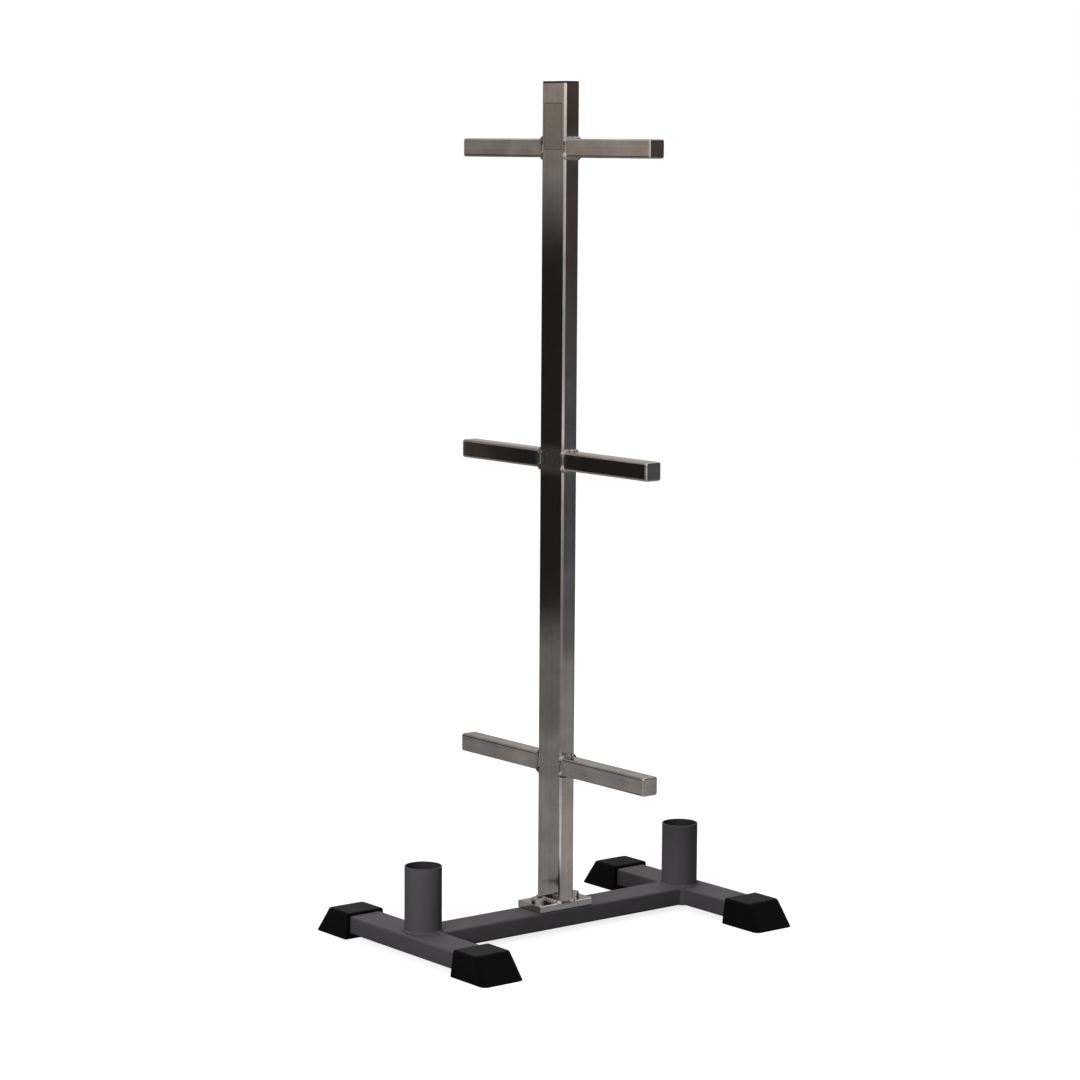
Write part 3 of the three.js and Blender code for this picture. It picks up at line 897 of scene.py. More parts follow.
@dataclass(frozen=True)
class Upright:
    """The plated post with its foot weld, its mounting plate and its moulded top cap."""

    end_edge: float = 0.3
    foot_bead: WeldBead = WeldBead(leg=3.8, fillet_axis=Axis.X, seam_reach=2.4, seed=11)
    plate_corner_radius: float = 2.0
    plate_chamfer: float = 1.2
    arm_spacing: float = 500.0
    cap_head_edge: float = 2.2
    cap_skirt_clearance: float = 1.0
    cap_skirt_wall: float = 1.8
    cap_fin_count: int = 3
    cap_fin_thickness: float = 1.2
    cap_fin_clearance: float = 0.3
    film_width: float = 46.0
    film_height: float = 75.0
    film_thickness: float = 0.15
    film_below_tube_top: float = 31.0
    film_corner_radius: float = 1.5
    border_inset: float = 0.8
    border_width: float = 0.9
    border_rise: float = 0.04

    @cached_property
    def post(self) -> Box:
        """The box of the post."""
        return Box.of("upright_post")

    def build(self) -> None:
        """Build and dress every piece of the upright but its arms."""
        outline = Rectangle(self.post.size.x, self.post.size.y)
        stand = shifted(z=self.post.low.z)
        low_arm = Box.of("plate_arm", Level.LOW, End.FRONT)
        steel = PlatedSteel(
            "nickel-chrome plated steel post", weld_origin=low_arm.middle.z, weld_period=self.arm_spacing
        )
        stock = tube(outline, self.post.size.z, self.end_edge)
        add_piece("post_tube", stock.moved(stand), steel, "upright_post")
        bead = self.foot_bead.build(outline)
        add_piece("post_foot_bead", bead.moved(stand), WELD_STEEL, "post_foot_weld")
        self.build_plate()
        self.build_top_cap()
        self.build_film()

    def build_plate(self) -> None:
        """Build the steel plate under the post, with its bolt holes."""
        box = Box.of("mounting_plate")
        outline = Rectangle(box.size.x, box.size.y, self.plate_corner_radius)
        chamfer = [(0.0, self.plate_chamfer), (self.plate_chamfer, 0.0)]
        blank = plate(outline, box.size.z, chamfer, chamfer).moved(shifted(z=box.low.z))
        overrun = box.size.z / 2
        flat = cut_away(blank.mesh("plate_blank"), bolt_holes(box.low.z - overrun, box.high.z + overrun))
        steel = PlatedSteel("nickel-chrome plated flat bar", grain=Axis.X)
        add_piece("mounting_flat", flat, steel, "mounting_plate")

    def build_top_cap(self) -> None:
        """Build the black cap: a thin head, and a hollow skirt with fins in the tube."""
        outline = Rectangle(self.post.size.x, self.post.size.y)
        cap = Box.of("post_top_cap")
        head = cap.high.z - self.post.high.z
        skirt = self.post.high.z - cap.low.z
        fin_inset = TUBE_WALL + self.cap_fin_clearance
        skirt_inset = TUBE_WALL + self.cap_skirt_clearance
        hollow_inset = skirt_inset + self.cap_skirt_wall
        profile = [(hollow_inset, 0.0), (hollow_inset, -skirt), (skirt_inset, -skirt)]
        for fin in reversed(range(self.cap_fin_count)):
            low = -(fin + 1) * skirt / (self.cap_fin_count + 1) - self.cap_fin_thickness / 2
            high = low + self.cap_fin_thickness
            profile += [(skirt_inset, low), (fin_inset, low), (fin_inset, high), (skirt_inset, high)]
        profile += [(skirt_inset, 0.0), (0.0, 0.0)]
        profile += [(inset, head - drop) for inset, drop in edge_arc(self.cap_head_edge, 2 * EDGE_STEPS)]
        plug = Draft.loft([outline.ring(inset, height) for inset, height in profile])
        plastic = Moulded("moulded polyethylene", "plastic", least_roughness=0.4, most_roughness=0.55)
        add_piece("post_end_plug", plug.moved(shifted(z=self.post.high.z)), plastic, "post_top_cap")

    def build_film(self) -> None:
        """Build the blank satin film on the post's left face, with its plain printed border."""
        outline = Rectangle(self.film_height, self.film_width, self.film_corner_radius)
        sheet = plate(outline, self.film_thickness, [(0.0, 0.0)], edge_arc(self.film_thickness / 2))
        middle = self.post.high.z - self.film_below_tube_top - self.film_height / 2
        place = shifted(self.post.low.x, 0, middle) @ along_x(-1)
        film = MottledMetal(
            "satin metallised film", "plated_steel", colour="#b9b2ac", cloud_colour="#a59e98",
            least_roughness=0.2, cloud_width=6.0, relief_width=6.0, relief_depth=0.004,
        )
        add_piece("blank_film", sheet.moved(place), film)
        inset = 2 * self.border_inset
        outline = Rectangle(outline.width - inset, outline.depth - inset, self.film_corner_radius)
        rise = self.film_thickness + self.border_rise
        border = tube(outline, rise, self.border_rise / 2, self.border_width)
        ink = MottledMetal(
            "grey border ink", "plated_steel", colour="#77716c", cloud_colour="#6a645f",
            least_roughness=0.3, most_roughness=0.4,
        )
        add_piece("film_border", border.moved(place), ink)


@dataclass(frozen=True)
class PlateArm:
    """One square arm with the plate that closes its end and the weld at its root."""

    level: Level
    end: End
    root_edge: float = 0.3
    cap_edge: float = 2.5
    cap_seam: float = 0.35
    weld_near: float = 4.0
    weld_far: float = 14.0
    first_seed: int = 21

    def build(self) -> None:
        """Build and dress the arm's three pieces."""
        names = [node_name(piece, self.level, self.end) for piece in ("plate_arm", "arm_end_cap", "arm_weld")]
        arm_name, cap_name, weld_name = names
        arm = Box.of(arm_name)
        face = Box.of("upright_post").high.y
        sign = self.end.value
        outline = Rectangle(arm.size.x, arm.size.z)
        root = shifted(0, sign * face, arm.middle.z) @ along_y(sign)
        steel = PlatedSteel(
            "nickel-chrome plated steel arm", grain=Axis.Y, weld_axis=Axis.Y, weld_place=face,
            weld_near=self.weld_near, weld_far=self.weld_far,
        )
        stock = tube(outline, arm.size.y, self.root_edge)
        add_piece(f"{arm_name}_tube", stock.moved(root), steel, arm_name)
        upper = edge_arc(self.cap_edge, 2 * EDGE_STEPS)
        cap = plate(outline, Box.of(cap_name).size.y, edge_arc(self.cap_seam), upper)
        ground_steel = PlatedSteel(
            "nickel-chrome plated cap, ground before plating", grain=Axis.X,
            least_roughness=0.13, most_roughness=0.24,
        )
        tip = root @ shifted(z=arm.size.y)
        add_piece(f"{cap_name}_plate", cap.moved(tip), ground_steel, cap_name)
        seed = self.first_seed + 2 * self.level.value + (sign + 1) // 2
        bead = WeldBead(fillet_axis=Axis.Y, seed=seed).build(outline)
        add_piece(f"{weld_name}_bead", bead.moved(root), WELD_STEEL, weld_name)


@dataclass(frozen=True)
class Fastening:
    """One hexagon bolt, and the weld nut under the beam's top wall."""

    side: Side
    head_sides: int = 6
    across_flats: float = 18.0
    bolt_radius: float = 6.0
    thread_pitch: float = 1.75
    thread_depth: float = 0.95
    end_chamfer: float = 1.0
    bearing_face_height: float = 0.4
    face_share: float = 0.95
    chamfer_angle: float = math.radians(30)
    segments: int = 72
    thread_steps: int = 6

    def hexagon(self) -> Ring:
        """Draw the outline of the bolt's head.

        Returns:
            Its points, as many as a round ring of the bolt has.
        """
        between = FULL_TURN / self.head_sides
        points = []
        for step in range(self.segments):
            angle = FULL_TURN * step / self.segments
            from_flat = (angle + between / 2) % between - between / 2
            points.append(polar(self.across_flats / 2 / math.cos(from_flat), angle))
        return points

    def thread_ring(self, height: float, length: float) -> Ring:
        """Draw a ring of the threaded shank.

        Args:
            height: Its height above the shank's lower end.
            length: The shank's length.

        Returns:
            The ring's points.
        """
        points = []
        lead_in = min(height, self.end_chamfer) - self.end_chamfer
        run_out = max(height - length + self.thread_pitch, 0) / self.thread_pitch
        for turn in (step / self.segments for step in range(self.segments)):
            within = (height / self.thread_pitch - turn) % 1
            groove = self.thread_depth * abs(2 * within - 1) * (1 - run_out)
            reach = min(self.bolt_radius - groove, self.bolt_radius + lead_in)
            points.append(polar(reach, FULL_TURN * turn, height - length))
        return points

    def bolt(self, head_height: float, shank_length: float) -> Draft:
        """Build a bolt with the underside of its head on z = 0.

        Args:
            head_height: The height of its head.
            shank_length: The length of its threaded shank.

        Returns:
            The bolt as a closed solid.
        """
        face = Circle(self.across_flats / 2 * self.face_share, self.segments)
        slope = math.tan(self.chamfer_angle)
        bearing = self.bearing_face_height
        count = round(shank_length / self.thread_pitch * self.thread_steps)
        rings = [self.thread_ring(shank_length * step / count, shank_length) for step in range(count + 1)]
        rings += [face.ring(0, 0), face.ring(0, bearing)]
        rings.append([Vector((point.x, point.y, bearing)) for point in self.hexagon()])
        drops = [(point, (point.length - face.radius) * slope) for point in self.hexagon()]
        rings.append([Vector((point.x, point.y, head_height - drop)) for point, drop in drops])
        rings.append(face.ring(0, head_height))
        return Draft.loft(rings)

    def build(self) -> None:
        """Build the bolt, and dress the nut, which keeps its node."""
        bolt_name = node_name("mounting_bolt", self.side)
        nut_name = node_name("weld_nut", self.side)
        bolt = Box.of(bolt_name)
        seat = Box.of("mounting_plate").high.z
        zinc = MottledMetal("zinc-plated forged steel", "zinc_plate")
        draft = self.bolt(bolt.high.z - seat, seat - bolt.low.z)
        add_piece(f"{bolt_name}_m12", draft.moved(shifted(bolt.middle.x, 0, seat)), zinc, bolt_name)
        plain = MottledMetal("plain forged steel", "plain_steel", colour="#77787a", cloud_colour="#55565a")
        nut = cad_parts[nut_name]
        nut.data.materials.clear()
        nut.data.materials.append(plain.material())
        log.info("%s: dressed in %s", nut_name, plain.name)


@dataclass(frozen=True)
class BaseFrame:
    """The welded base: the beam between two foot tubes."""

    coat: PowderCoat
    end_edge: float = 0.4
    bead: WeldBead = WeldBead(leg=5.4, crown=0.2, fillet_axis=Axis.Y, ripple_height=0.2)
    first_seed: int = 31
    # How far under the tubes' faces the welds are ground
    ground: float = 0.03

    def build(self) -> None:
        """Build and dress the beam with its bolt holes, the foot tubes and their welds."""
        beam = Box.of("base_beam")
        outline = Rectangle(beam.size.z, beam.size.y)
        left_end = shifted(beam.low.x, 0, beam.middle.z) @ along_x(1)
        blank = tube(outline, beam.size.x, self.end_edge).moved(left_end)
        holes = bolt_holes(beam.middle.z, beam.high.z + beam.size.z / 2)
        add_piece("base_beam_tube", cut_away(blank.mesh("beam_blank"), holes), self.coat, "base_beam")
        for side in Side:
            name = node_name("foot_tube", side)
            foot = Box.of(name)
            stock = tube(Rectangle(foot.size.x, foot.size.z), foot.size.y, self.end_edge)
            place = shifted(foot.middle.x, foot.low.y, foot.middle.z) @ along_y(1)
            add_piece(f"{name}_stock", stock.moved(place), self.coat, name)
            name = node_name("beam_weld", side)
            bead = replace(self.bead, seed=self.first_seed + (side.value + 1) // 2).build(outline)
            bead = bead.moved(turned(HALF_TURN if side is Side.RIGHT else 0) @ left_end)
            for point in bead.points:
                point.z = min(max(point.z, beam.low.z + self.ground), beam.high.z - self.ground)
            add_piece(f"{name}_bead", bead, self.coat, name)


@dataclass(frozen=True)
class BarHolder:
    """An upright round tube that takes a bar's end, with the fillet weld round its foot."""

    side: Side
    coat: PowderCoat
    wall: float = 2.5
    rim: float = 0.8
    bead: WeldBead = WeldBead(leg=2.9, crown=0.3, ripple_height=0.22)
    first_seed: int = 41

    def build(self) -> None:
        """Build and dress the tube and its weld."""
        name = node_name("bar_holder", self.side)
        weld_name = node_name("holder_weld", self.side)
        box = Box.of(name)
        outline = Circle(box.size.x / 2)
        place = shifted(box.middle.x, 0, box.low.z)
        stock = tube(outline, box.size.z, self.rim, self.wall)
        piece = add_piece(f"{name}_tube", stock.moved(place), self.coat, name)
        self.paint_bore_shade(piece.data, outline, box.middle.x)
        bead = replace(self.bead, seed=self.first_seed + (self.side.value + 1) // 2).build(outline)
        add_piece(f"{weld_name}_bead", bead.moved(place), self.coat, weld_name)

    def paint_bore_shade(self, mesh: Mesh, outline: Circle, middle: float) -> None:
        """Dress the bore in a darker coat: the sprayed powder is thin there, and the darkening also stands in
        for the shade inside the tube.

        Args:
            mesh: The tube's mesh, in metres.
            outline: The tube's outer outline.
            middle: Where the tube's axis crosses the X axis.
        """
        # The darker bore coat is partly thin powder and partly painted shade inside the tube
        bore_shade_coat = PowderCoat(
            "thin powder coat over bare steel", colour="#2a292b", cloud_colour="#333234", gloss_level=0.3
        )
        mesh.materials.append(bore_shade_coat.material())
        for face in mesh.polygons:
            outward = face.center - Vector((middle * MM, 0, face.center.z))
            if face.normal.dot(outward.normalized()) < -self.wall / (2 * outline.radius):
                face.material_index = 1


@dataclass(frozen=True)
class FootCap:
    """A moulded rubber cap on a foot tube's end, with a flared wall and a sloping toe.

    It is built with z = 0 on the floor and +Y running out to the toe, and every size but
    its height comes from the tube's end that it takes.
    """

    side_wall: float = 4.5
    side_flare: float = 6.0
    end_wall: float = 9.5
    toe: float = 30.0
    clearance: float = 0.3
    top_edge: float = 3.0
    sole_edge: float = 1.5
    back_radius: float = 2.0
    top_radius: float = 6.0
    toe_radius: float = 10.0
    pocket_count: int = 3
    pocket_wall: float = 5.0
    pocket_rib: float = 4.0
    pocket_radius: float = 1.5
    pocket_share: float = 0.6
    tread_count: int = 4
    tread_width: float = 3.5
    tread_depth: float = 1.5
    tread_margin: float = 6.0
    mouth_edge: float = 0.9
    mouth_profile: float = 0.5
    overrun: float = 5.0

    @cached_property
    def cap(self) -> Box:
        """The box of the back right cap, which all four are moulded like."""
        return Box.of("foot_cap", End.BACK, Side.RIGHT)

    @cached_property
    def stock(self) -> Box:
        """The box of the tube that the cap takes."""
        return Box.of("foot_tube", Side.RIGHT)

    def half_width(self, height: float) -> float:
        """Half the cap's width at a height."""
        flare = self.side_flare * (1 - height / self.cap.size.z)
        return self.stock.size.x / 2 + self.side_wall + flare

    def toe_end(self, height: float) -> float:
        """How far out the toe reaches at a height."""
        toe = self.toe * (1 - height / self.cap.size.z)
        return self.stock.high.y + self.end_wall + toe

    def level_ring(self, height: float, sides: Point, ends: Point, radii: Point) -> Ring:
        """Draw a level ring with its own radii at the tube's end and at the toe.

        Args:
            height: The ring's height.
            sides: Where it ends on the left and on the right.
            ends: Where it ends at the back and at the front.
            radii: The radii of its two back and of its two front corners.

        Returns:
            The ring's points, counter-clockwise from the front right corner.
        """
        (left, right), (rear, fore) = sides, radii
        behind, ahead = ends[0] + rear, ends[1] - fore
        front = [(right - fore, ahead, fore), (left + fore, ahead, fore)]
        return corner_ring([*front, (left + rear, behind, rear), (right - rear, behind, rear)], height)

    def shell(self) -> Draft:
        """Build the cap's outer form.

        Returns:
            The form as a closed solid.
        """
        full = self.cap.size.z
        levels = list(reversed(edge_arc(self.sole_edge, 2 * EDGE_STEPS)))
        levels += [(inset, full - drop) for inset, drop in edge_arc(self.top_edge, 2 * EDGE_STEPS)]
        rings = []
        for inset, height in levels:
            share = height / full
            reach = self.half_width(height) - inset
            ends = (self.cap.low.y + inset, self.toe_end(height) - inset)
            fore = self.toe_radius * (1 - share) + self.top_radius * share
            rings.append(self.level_ring(height, (-reach, reach), ends, (self.back_radius, fore)))
        return Draft.loft(rings)

    def socket(self) -> Draft:
        """Build the hollow that takes the tube's end.

        Returns:
            The hollow as a closed solid.
        """
        cap, stock, room = self.cap, self.stock, self.clearance
        outline = Rectangle(stock.size.x + 2 * room, stock.size.z + 2 * room, TUBE_CORNER_RADIUS + room)
        hollow = prism(outline, 0, stock.high.y - cap.low.y + room + self.overrun)
        return hollow.moved(shifted(0, cap.low.y - self.overrun, stock.middle.z) @ along_y(1))

    def pockets(self) -> list[Draft]:
        """Build the hollows that core the toe from below, between moulded ribs.

        Returns:
            Each hollow as a closed solid.
        """
        back = self.stock.high.y + self.clearance + self.pocket_wall
        drafts = []
        for pocket in range(self.pocket_count):
            rings = []
            for height in (-self.overrun, self.cap.size.z * self.pocket_share):
                inner = self.half_width(height) - self.pocket_wall
                pitch = (2 * inner + self.pocket_rib) / self.pocket_count
                left = pocket * pitch - inner
                sides = (left, left + pitch - self.pocket_rib)
                ends = (back, self.toe_end(height) - self.pocket_wall)
                rings.append(self.level_ring(height, sides, ends, (self.pocket_radius,) * 2))
            drafts.append(Draft.loft(rings))
        return drafts

    def treads(self) -> list[Draft]:
        """Build the grooves across the sole, under the tube.

        Returns:
            Each groove as a closed solid.
        """
        length = self.cap.size.x - 2 * self.tread_margin
        pitch = (self.stock.high.y - self.cap.low.y) / self.tread_count
        outline = Rectangle(length, self.tread_width, (self.tread_width - LEAST_RADIUS) / 2)
        groove = prism(outline, -self.tread_depth, self.tread_depth)
        places = [self.cap.low.y + (tread + 0.5) * pitch for tread in range(self.tread_count)]
        return [groove.moved(shifted(y=place)) for place in places]

    def on_mouth(self, point: Vector) -> bool:
        """Say whether a point lies on the socket's outline in the cap's back face.

        Args:
            point: The point, in metres.

        Returns:
            Whether it does.
        """
        room = 2 * self.clearance
        limits = (self.stock.size.x / 2 + room, self.clearance, self.stock.size.z / 2 + room)
        away = point / MM - Vector((0, self.cap.low.y, self.stock.middle.z))
        return all(abs(part) < limit for part, limit in zip(away, limits))

    def soften_mouth(self, mesh: Mesh) -> None:
        """Round the edge of the socket's mouth, where the cap meets the tube.

        Args:
            mesh: The cap's mesh, in metres.
        """
        shape = bmesh.new()
        shape.from_mesh(mesh)
        edges = [edge for edge in shape.edges if all(self.on_mouth(end.co) for end in edge.verts)]
        bmesh.ops.bevel(
            shape, geom=edges, offset=self.mouth_edge * MM, segments=EDGE_STEPS,
            profile=self.mouth_profile, affect="EDGES", clamp_overlap=True,
        )
        shape.to_mesh(mesh)
        shape.free()

    def build(self) -> None:
        """Build the four caps from one moulding."""
        rubber = Moulded("moulded black rubber", "rubber")
        tools = [self.socket(), *self.pockets(), *self.treads()]
        moulding = cut_away(self.shell().mesh("foot_cap_blank"), tools)
        self.soften_mouth(moulding)
        for side in Side:
            for end in End:
                name = node_name("foot_cap", end, side)
                mesh = moulding.copy()
                middle = Box.of("foot_tube", side).middle.x * MM
                mesh.transform(shifted(middle) @ turned(HALF_TURN if end is End.FRONT else 0))
                add_piece(f"{name}_moulding", mesh, rubber, name)


@dataclass(frozen=True)
class PhotoCamera:
    """The camera that matches the photograph, by a perspective fitted to the object.

    The focal length and the image's side are in pixels of the square photograph, and the
    angles are in degrees.
    """

    azimuth: float = -38.228
    elevation: float = 7.216
    roll: float = 0.36
    focal_pixels: float = 3144.1
    image_side_pixels: float = 1080.0
    sensor_width: float = 36.0
    distance: float = 5106.45
    target_across: float = -28.773
    target_height: float = 645.245
    clip_start: float = 100.0
    clip_end: float = 60000.0

    def build(self) -> None:
        """Add the camera and look through it."""
        data = bpy.data.cameras.new("photo_camera")
        data.sensor_width = self.sensor_width
        data.lens = self.sensor_width * self.focal_pixels / self.image_side_pixels
        data.clip_start = self.clip_start * MM
        data.clip_end = self.clip_end * MM
        camera = add_object("photo_camera", data)
        heading = turned(math.radians(self.azimuth)) @ shifted(self.target_across * MM)
        tilt = turned(QUARTER_TURN - math.radians(self.elevation), Axis.X)
        view = tilt @ shifted(z=self.distance * MM) @ turned(math.radians(self.roll))
        camera.matrix_world = shifted(z=self.target_height * MM) @ heading @ view
        bpy.context.scene.camera = camera


@dataclass(frozen=True)
class Panel:
    """A panel of the room that glossy surfaces mirror, brighter or darker than the rest.

    Angles are counter-clockwise from +X, and the camera stands at 232 degrees. A rise is
    counted along the room's surface from the foot of its wall: up the wall above 0, and
    over the floor toward the middle below 0. The soft widths are those of its blurred edges.
    """

    colour: str
    tone: float
    angles: Point
    rises: Point
    soft_angle: float = 14.0
    soft_rise: float = 160.0

    def cover(self, angle: float, rise: float) -> float:
        """Say how much of the room the panel hides at a place.

        Args:
            angle: The place's angle, in degrees.
            rise: Its rise.

        Returns:
            A share from 0 to 1.
        """
        middle = sum(self.angles) / 2
        half = (self.angles[1] - self.angles[0]) / 2
        half_turn = FULL_TURN_DEGREES / 2
        away = abs((angle - middle + half_turn) % FULL_TURN_DEGREES - half_turn)
        sideways = smooth_step((half - away) / self.soft_angle + 0.5)
        above = smooth_step((rise - self.rises[0]) / self.soft_rise + 0.5)
        below = smooth_step((self.rises[1] - rise) / self.soft_rise + 0.5)
        return sideways * above * below


@dataclass(frozen=True)
class StudioRoom:
    """The grey room round the object, which shows in its glossy surfaces and nowhere else."""

    radius: float = 3200.0
    inner_radius: float = 60.0
    ceiling: float = 3400.0
    floor_lift: float = 1.0
    columns: int = 240
    row_height: float = 70.0
    # The painted shadow under the base: its height, and how far it reaches past the base's outer sides and
    # ends, and past its inner sides
    painted_shadow_lift: float = 1.5
    painted_shadow_margin: float = 80.0
    painted_shadow_inner_margin: float = 30.0
    panels: tuple[Panel, ...] = (
        Panel("#ffffff", 0.3, ALL_ROUND, (-ENDLESS, ENDLESS)),
        # The open side, where the camera and the windows are
        Panel("#ffffff", 0.5, OPEN_SIDE, (230.0, ENDLESS), soft_rise=260.0),
        Panel("#fff9f4", 1.25, OPEN_SIDE, (1250.0, ENDLESS), soft_rise=900.0),
        Panel("#ffffff", 0.95, (165.0, 285.0), (400.0, 620.0), soft_rise=200.0),
        Panel("#ffffff", 0.95, (165.0, 290.0), (-2700.0, -2000.0), soft_rise=330.0),
        # The left side: a dark drape with a pale strip, and a warm lit wall above it
        Panel("#f4f2f4", 0.024, LEFT_SIDE, (-100.0, ENDLESS)),
        Panel("#fff3e9", 0.335, LEFT_SIDE, (1150.0, ENDLESS), soft_rise=300.0),
        Panel("#fff3e9", 0.58, (132.0, 158.0), (1150.0, ENDLESS), soft_rise=300.0),
        Panel("#fffcf4", 0.1, (60.0, 125.2), (390.0, 590.0), soft_angle=1.0, soft_rise=60.0),
        Panel("#fffaf6", 0.2, LEFT_SIDE, (-1490.0, 0.0), soft_rise=70.0),
        # The right side: a grey drape, warmer and darker above, over a pale floor
        Panel("#eef4ff", 0.12, RIGHT_SIDE, (-350.0, ENDLESS), soft_rise=250.0),
        Panel("#ffe4dc", 0.085, RIGHT_SIDE, (800.0, ENDLESS), soft_rise=300.0),
        Panel("#f4f4ff", 0.165, (292.0, 330.0), (-100.0, 180.0)),
        Panel("#fffaf6", 0.435, (285.0, 340.0), (-2850.0, -1800.0), soft_rise=850.0),
        Panel("#ffffff", 0.03, (330.0, 385.0), (-1400.0, ENDLESS), soft_angle=24.0),
        # The far side: dark below, with a pale wall that the level faces show
        Panel("#ffffff", 0.05, FAR_SIDE, (-1200.0, 740.0)),
        Panel("#fffaf4", 0.42, FAR_SIDE, (760.0, ENDLESS), soft_rise=120.0),
        Panel("#ffffff", 0.46, FAR_SIDE, (1000.0, 1240.0), soft_rise=120.0),
    )

    def colour(self, angle: float, rise: float) -> Colour:
        """Mix the room's colour at a place, with each panel laid over those before it.

        Args:
            angle: The place's angle, in degrees.
            rise: Its rise.

        Returns:
            Linear red, green and blue, and an alpha of 1.
        """
        mixed = [0.0, 0.0, 0.0]
        for panel in self.panels:
            share = panel.cover(angle, rise)
            paint = [channel * panel.tone for channel in linear_colour(panel.colour)[:3]]
            mixed = [old * (1 - share) + new * share for old, new in zip(mixed, paint)]
        return (*mixed, 1.0)

    def painted_shadow_outline(self) -> list[Point]:
        """Draw the painted shadow under the base: a black sheet a little wider than the base, which its
        glossy lower edges mirror.

        Returns:
            Its corners, counter-clockwise.
        """
        foot = Box.of("foot_tube", Side.RIGHT)
        outer = foot.high.x + self.painted_shadow_margin
        inner = foot.low.x - self.painted_shadow_inner_margin
        end = foot.high.y + self.painted_shadow_margin
        quarter = [(outer, end), (inner, end), (inner, Box.of("base_beam").high.y + self.painted_shadow_margin)]
        half = quarter + [(-x, y) for x, y in reversed(quarter)]
        return half + [(x, -y) for x, y in reversed(half)]

    def build(self) -> None:
        """Add the room, from its floor up to its open top, and the black sheet of painted shadow under the
        base.
        """
        first = self.inner_radius - self.radius
        count = math.ceil((self.ceiling - first) / self.row_height)
        rises = [first + (self.ceiling - first) * row / count for row in range(count + 1)]
        rings = [
            Circle(self.radius + min(rise, 0.0), self.columns).ring(0, self.floor_lift + max(rise, 0.0))
            for rise in rises
        ]
        draft = Draft.loft(rings)
        # The last face would close the room above
        draft.faces.pop()
        angles = [FULL_TURN_DEGREES * column / self.columns for column in range(self.columns)]
        colours = [self.colour(angle, rise) for rise in rises for angle in angles]
        # A black sheet under the base, seen only in gloss: painted shadow, which the base's glossy lower
        # edges mirror
        shade = [Vector((x, y, self.painted_shadow_lift)) for x, y in self.painted_shadow_outline()]
        draft.faces.append(tuple(range(len(draft.points), len(draft.points) + len(shade))))
        draft.points += shade
        colours += [linear_colour("#000000")] * len(shade)
        mesh = draft.mesh("studio_room")
        paint = mesh.attributes.new("paint", "FLOAT_COLOR", "POINT")
        for spot, colour in zip(paint.data, colours):
            spot.color = colour
        material = bpy.data.materials.new("lit studio drapes")
        tree = emptied_tree(material)
        read = add_node(tree, "Attribute", attribute_name="paint")
        glow = add_node(tree, "Emission", {"Color": read, "Strength": 1.0})
        add_node(tree, "OutputMaterial", {"Surface": glow})
        mesh.materials.append(material)
        room = add_object("studio_room", mesh)
        for ray in ("camera", "diffuse", "transmission", "volume_scatter", "shadow"):
            setattr(room, f"visible_{ray}", False)


@dataclass(frozen=True)
class Lamp:
    """A soft square lamp that looks at a point of the object and shows in none of its gloss."""

    name: str
    place: tuple[float, float, float]
    side: float
    watts: float
    aim_height: float

    def build(self) -> None:
        """Add the lamp."""
        data = bpy.data.lights.new(self.name, "AREA")
        data.shape = "SQUARE"
        data.size = self.side * MM
        data.energy = self.watts
        lamp = add_object(self.name, data)
        lamp.location = Vector(self.place) * MM
        lamp.rotation_mode = "QUATERNION"
        ahead = Vector((0, 0, self.aim_height)) - Vector(self.place)
        lamp.rotation_quaternion = ahead.to_track_quat("-Z", "Y")
        lamp.visible_glossy = False


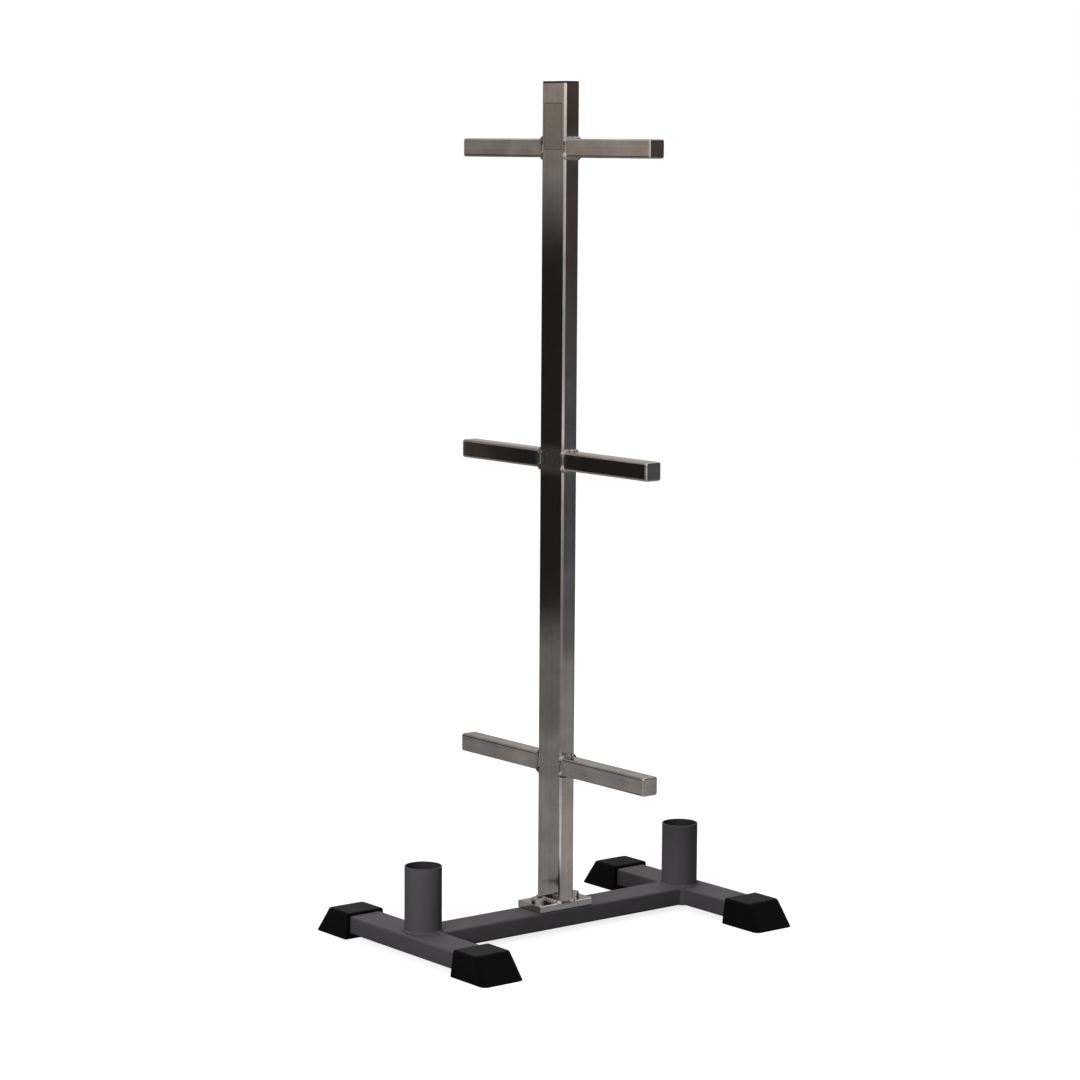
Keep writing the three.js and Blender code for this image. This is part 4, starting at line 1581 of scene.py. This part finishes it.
@dataclass(frozen=True)
class Studio:
    """A plain pale studio: white floor and background, soft lamps and a grey room."""

    floor_side: float = 40000.0
    floor_colour: str = "#2e2e2e"
    floor_lit_share: float = 0.3
    floor_near_white: float = 0.82
    floor_far_white: float = 1.0
    floor_near: float = 500.0
    floor_far: float = 2200.0
    world_light: float = 0.05
    lamps: tuple[Lamp, ...] = (
        Lamp("overhead_lamp", (350, 450, 3300), side=1800.0, watts=92.0, aim_height=300),
        Lamp("key_lamp", (-2840, -1510, 1400), side=1500.0, watts=93.0, aim_height=400),
    )

    def build(self) -> None:
        """Add the background, the floor, what the plating mirrors and the lamps."""
        bpy.context.scene.view_settings.view_transform = "Standard"
        self.build_world()
        self.build_floor()
        StudioRoom().build()
        for lamp in self.lamps:
            lamp.build()

    def by_ray(self, tree: NodeTree, lit: Node, shown: Node) -> Node:
        """Choose between two shaders by the ray that meets them.

        Args:
            tree: The node tree.
            lit: The shader that lights the object.
            shown: The shader that the camera sees, also in a mirror and through glass.

        Returns:
            The node that gives the chosen one.
        """
        rays = add_node(tree, "LightPath").outputs
        direct = {0: rays["Is Camera Ray"], 1: rays["Is Glossy Ray"]}
        every = {0: add_node(tree, "Math", direct, operation="MAXIMUM"), 1: rays["Is Transmission Ray"]}
        seen = add_node(tree, "Math", every, operation="MAXIMUM")
        return add_node(tree, "MixShader", {0: seen, 1: lit, 2: shown})

    def build_world(self) -> None:
        """Light the object with a dim world that looks white."""
        world = bpy.data.worlds.new("studio")
        bpy.context.scene.world = world
        tree = emptied_tree(world)
        white = linear_colour("#ffffff")
        lit = add_node(tree, "Background", {"Color": white, "Strength": self.world_light})
        shown = add_node(tree, "Background", {"Color": white, "Strength": 1.0})
        add_node(tree, "OutputWorld", {"Surface": self.by_ray(tree, lit, shown)})

    def build_floor(self) -> None:
        """Add a white floor that keeps a soft shadow of the object."""
        half = self.floor_side / 2
        corners = [(-half, -half), (half, -half), (half, half), (-half, half)]
        sheet = Draft([Vector((x, y, 0)) for x, y in corners], [(0, 1, 2, 3)])
        floor = add_object("floor", sheet.mesh("floor"))
        material = bpy.data.materials.new("white studio paper")
        tree = emptied_tree(material)
        paper = add_node(tree, "BsdfDiffuse", {"Color": linear_colour(self.floor_colour)})
        shaded = add_node(tree, "BsdfDiffuse", {"Color": (*[self.floor_lit_share] * 3, 1.0)})
        place = add_node(tree, "TexCoord").outputs["Object"]
        away = add_node(tree, "VectorMath", {0: place}, operation="LENGTH")
        span = {"Value": away, "From Min": self.floor_near * MM, "From Max": self.floor_far * MM}
        tones = {"To Min": self.floor_near_white, "To Max": self.floor_far_white}
        white = add_node(tree, "MapRange", span | tones, interpolation_type="SMOOTHSTEP")
        glow = add_node(tree, "Emission", {"Strength": white})
        shown = add_node(tree, "AddShader", {0: shaded, 1: glow})
        add_node(tree, "OutputMaterial", {"Surface": self.by_ray(tree, paper, shown)})
        floor.data.materials.append(material)


def main() -> None:
    """Build the scene: camera and studio, then the base, the upright and its arms."""
    logging.basicConfig(level=logging.INFO, format="%(message)s")
    PhotoCamera().build()
    Studio().build()
    coat = PowderCoat("charcoal powder-coated steel")
    BaseFrame(coat).build()
    FootCap().build()
    for side in Side:
        BarHolder(side, coat).build()
        Fastening(side).build()
    Upright().build()
    for level in Level:
        for end in End:
            PlateArm(level, end).build()


if __name__ == "__main__":
    main()
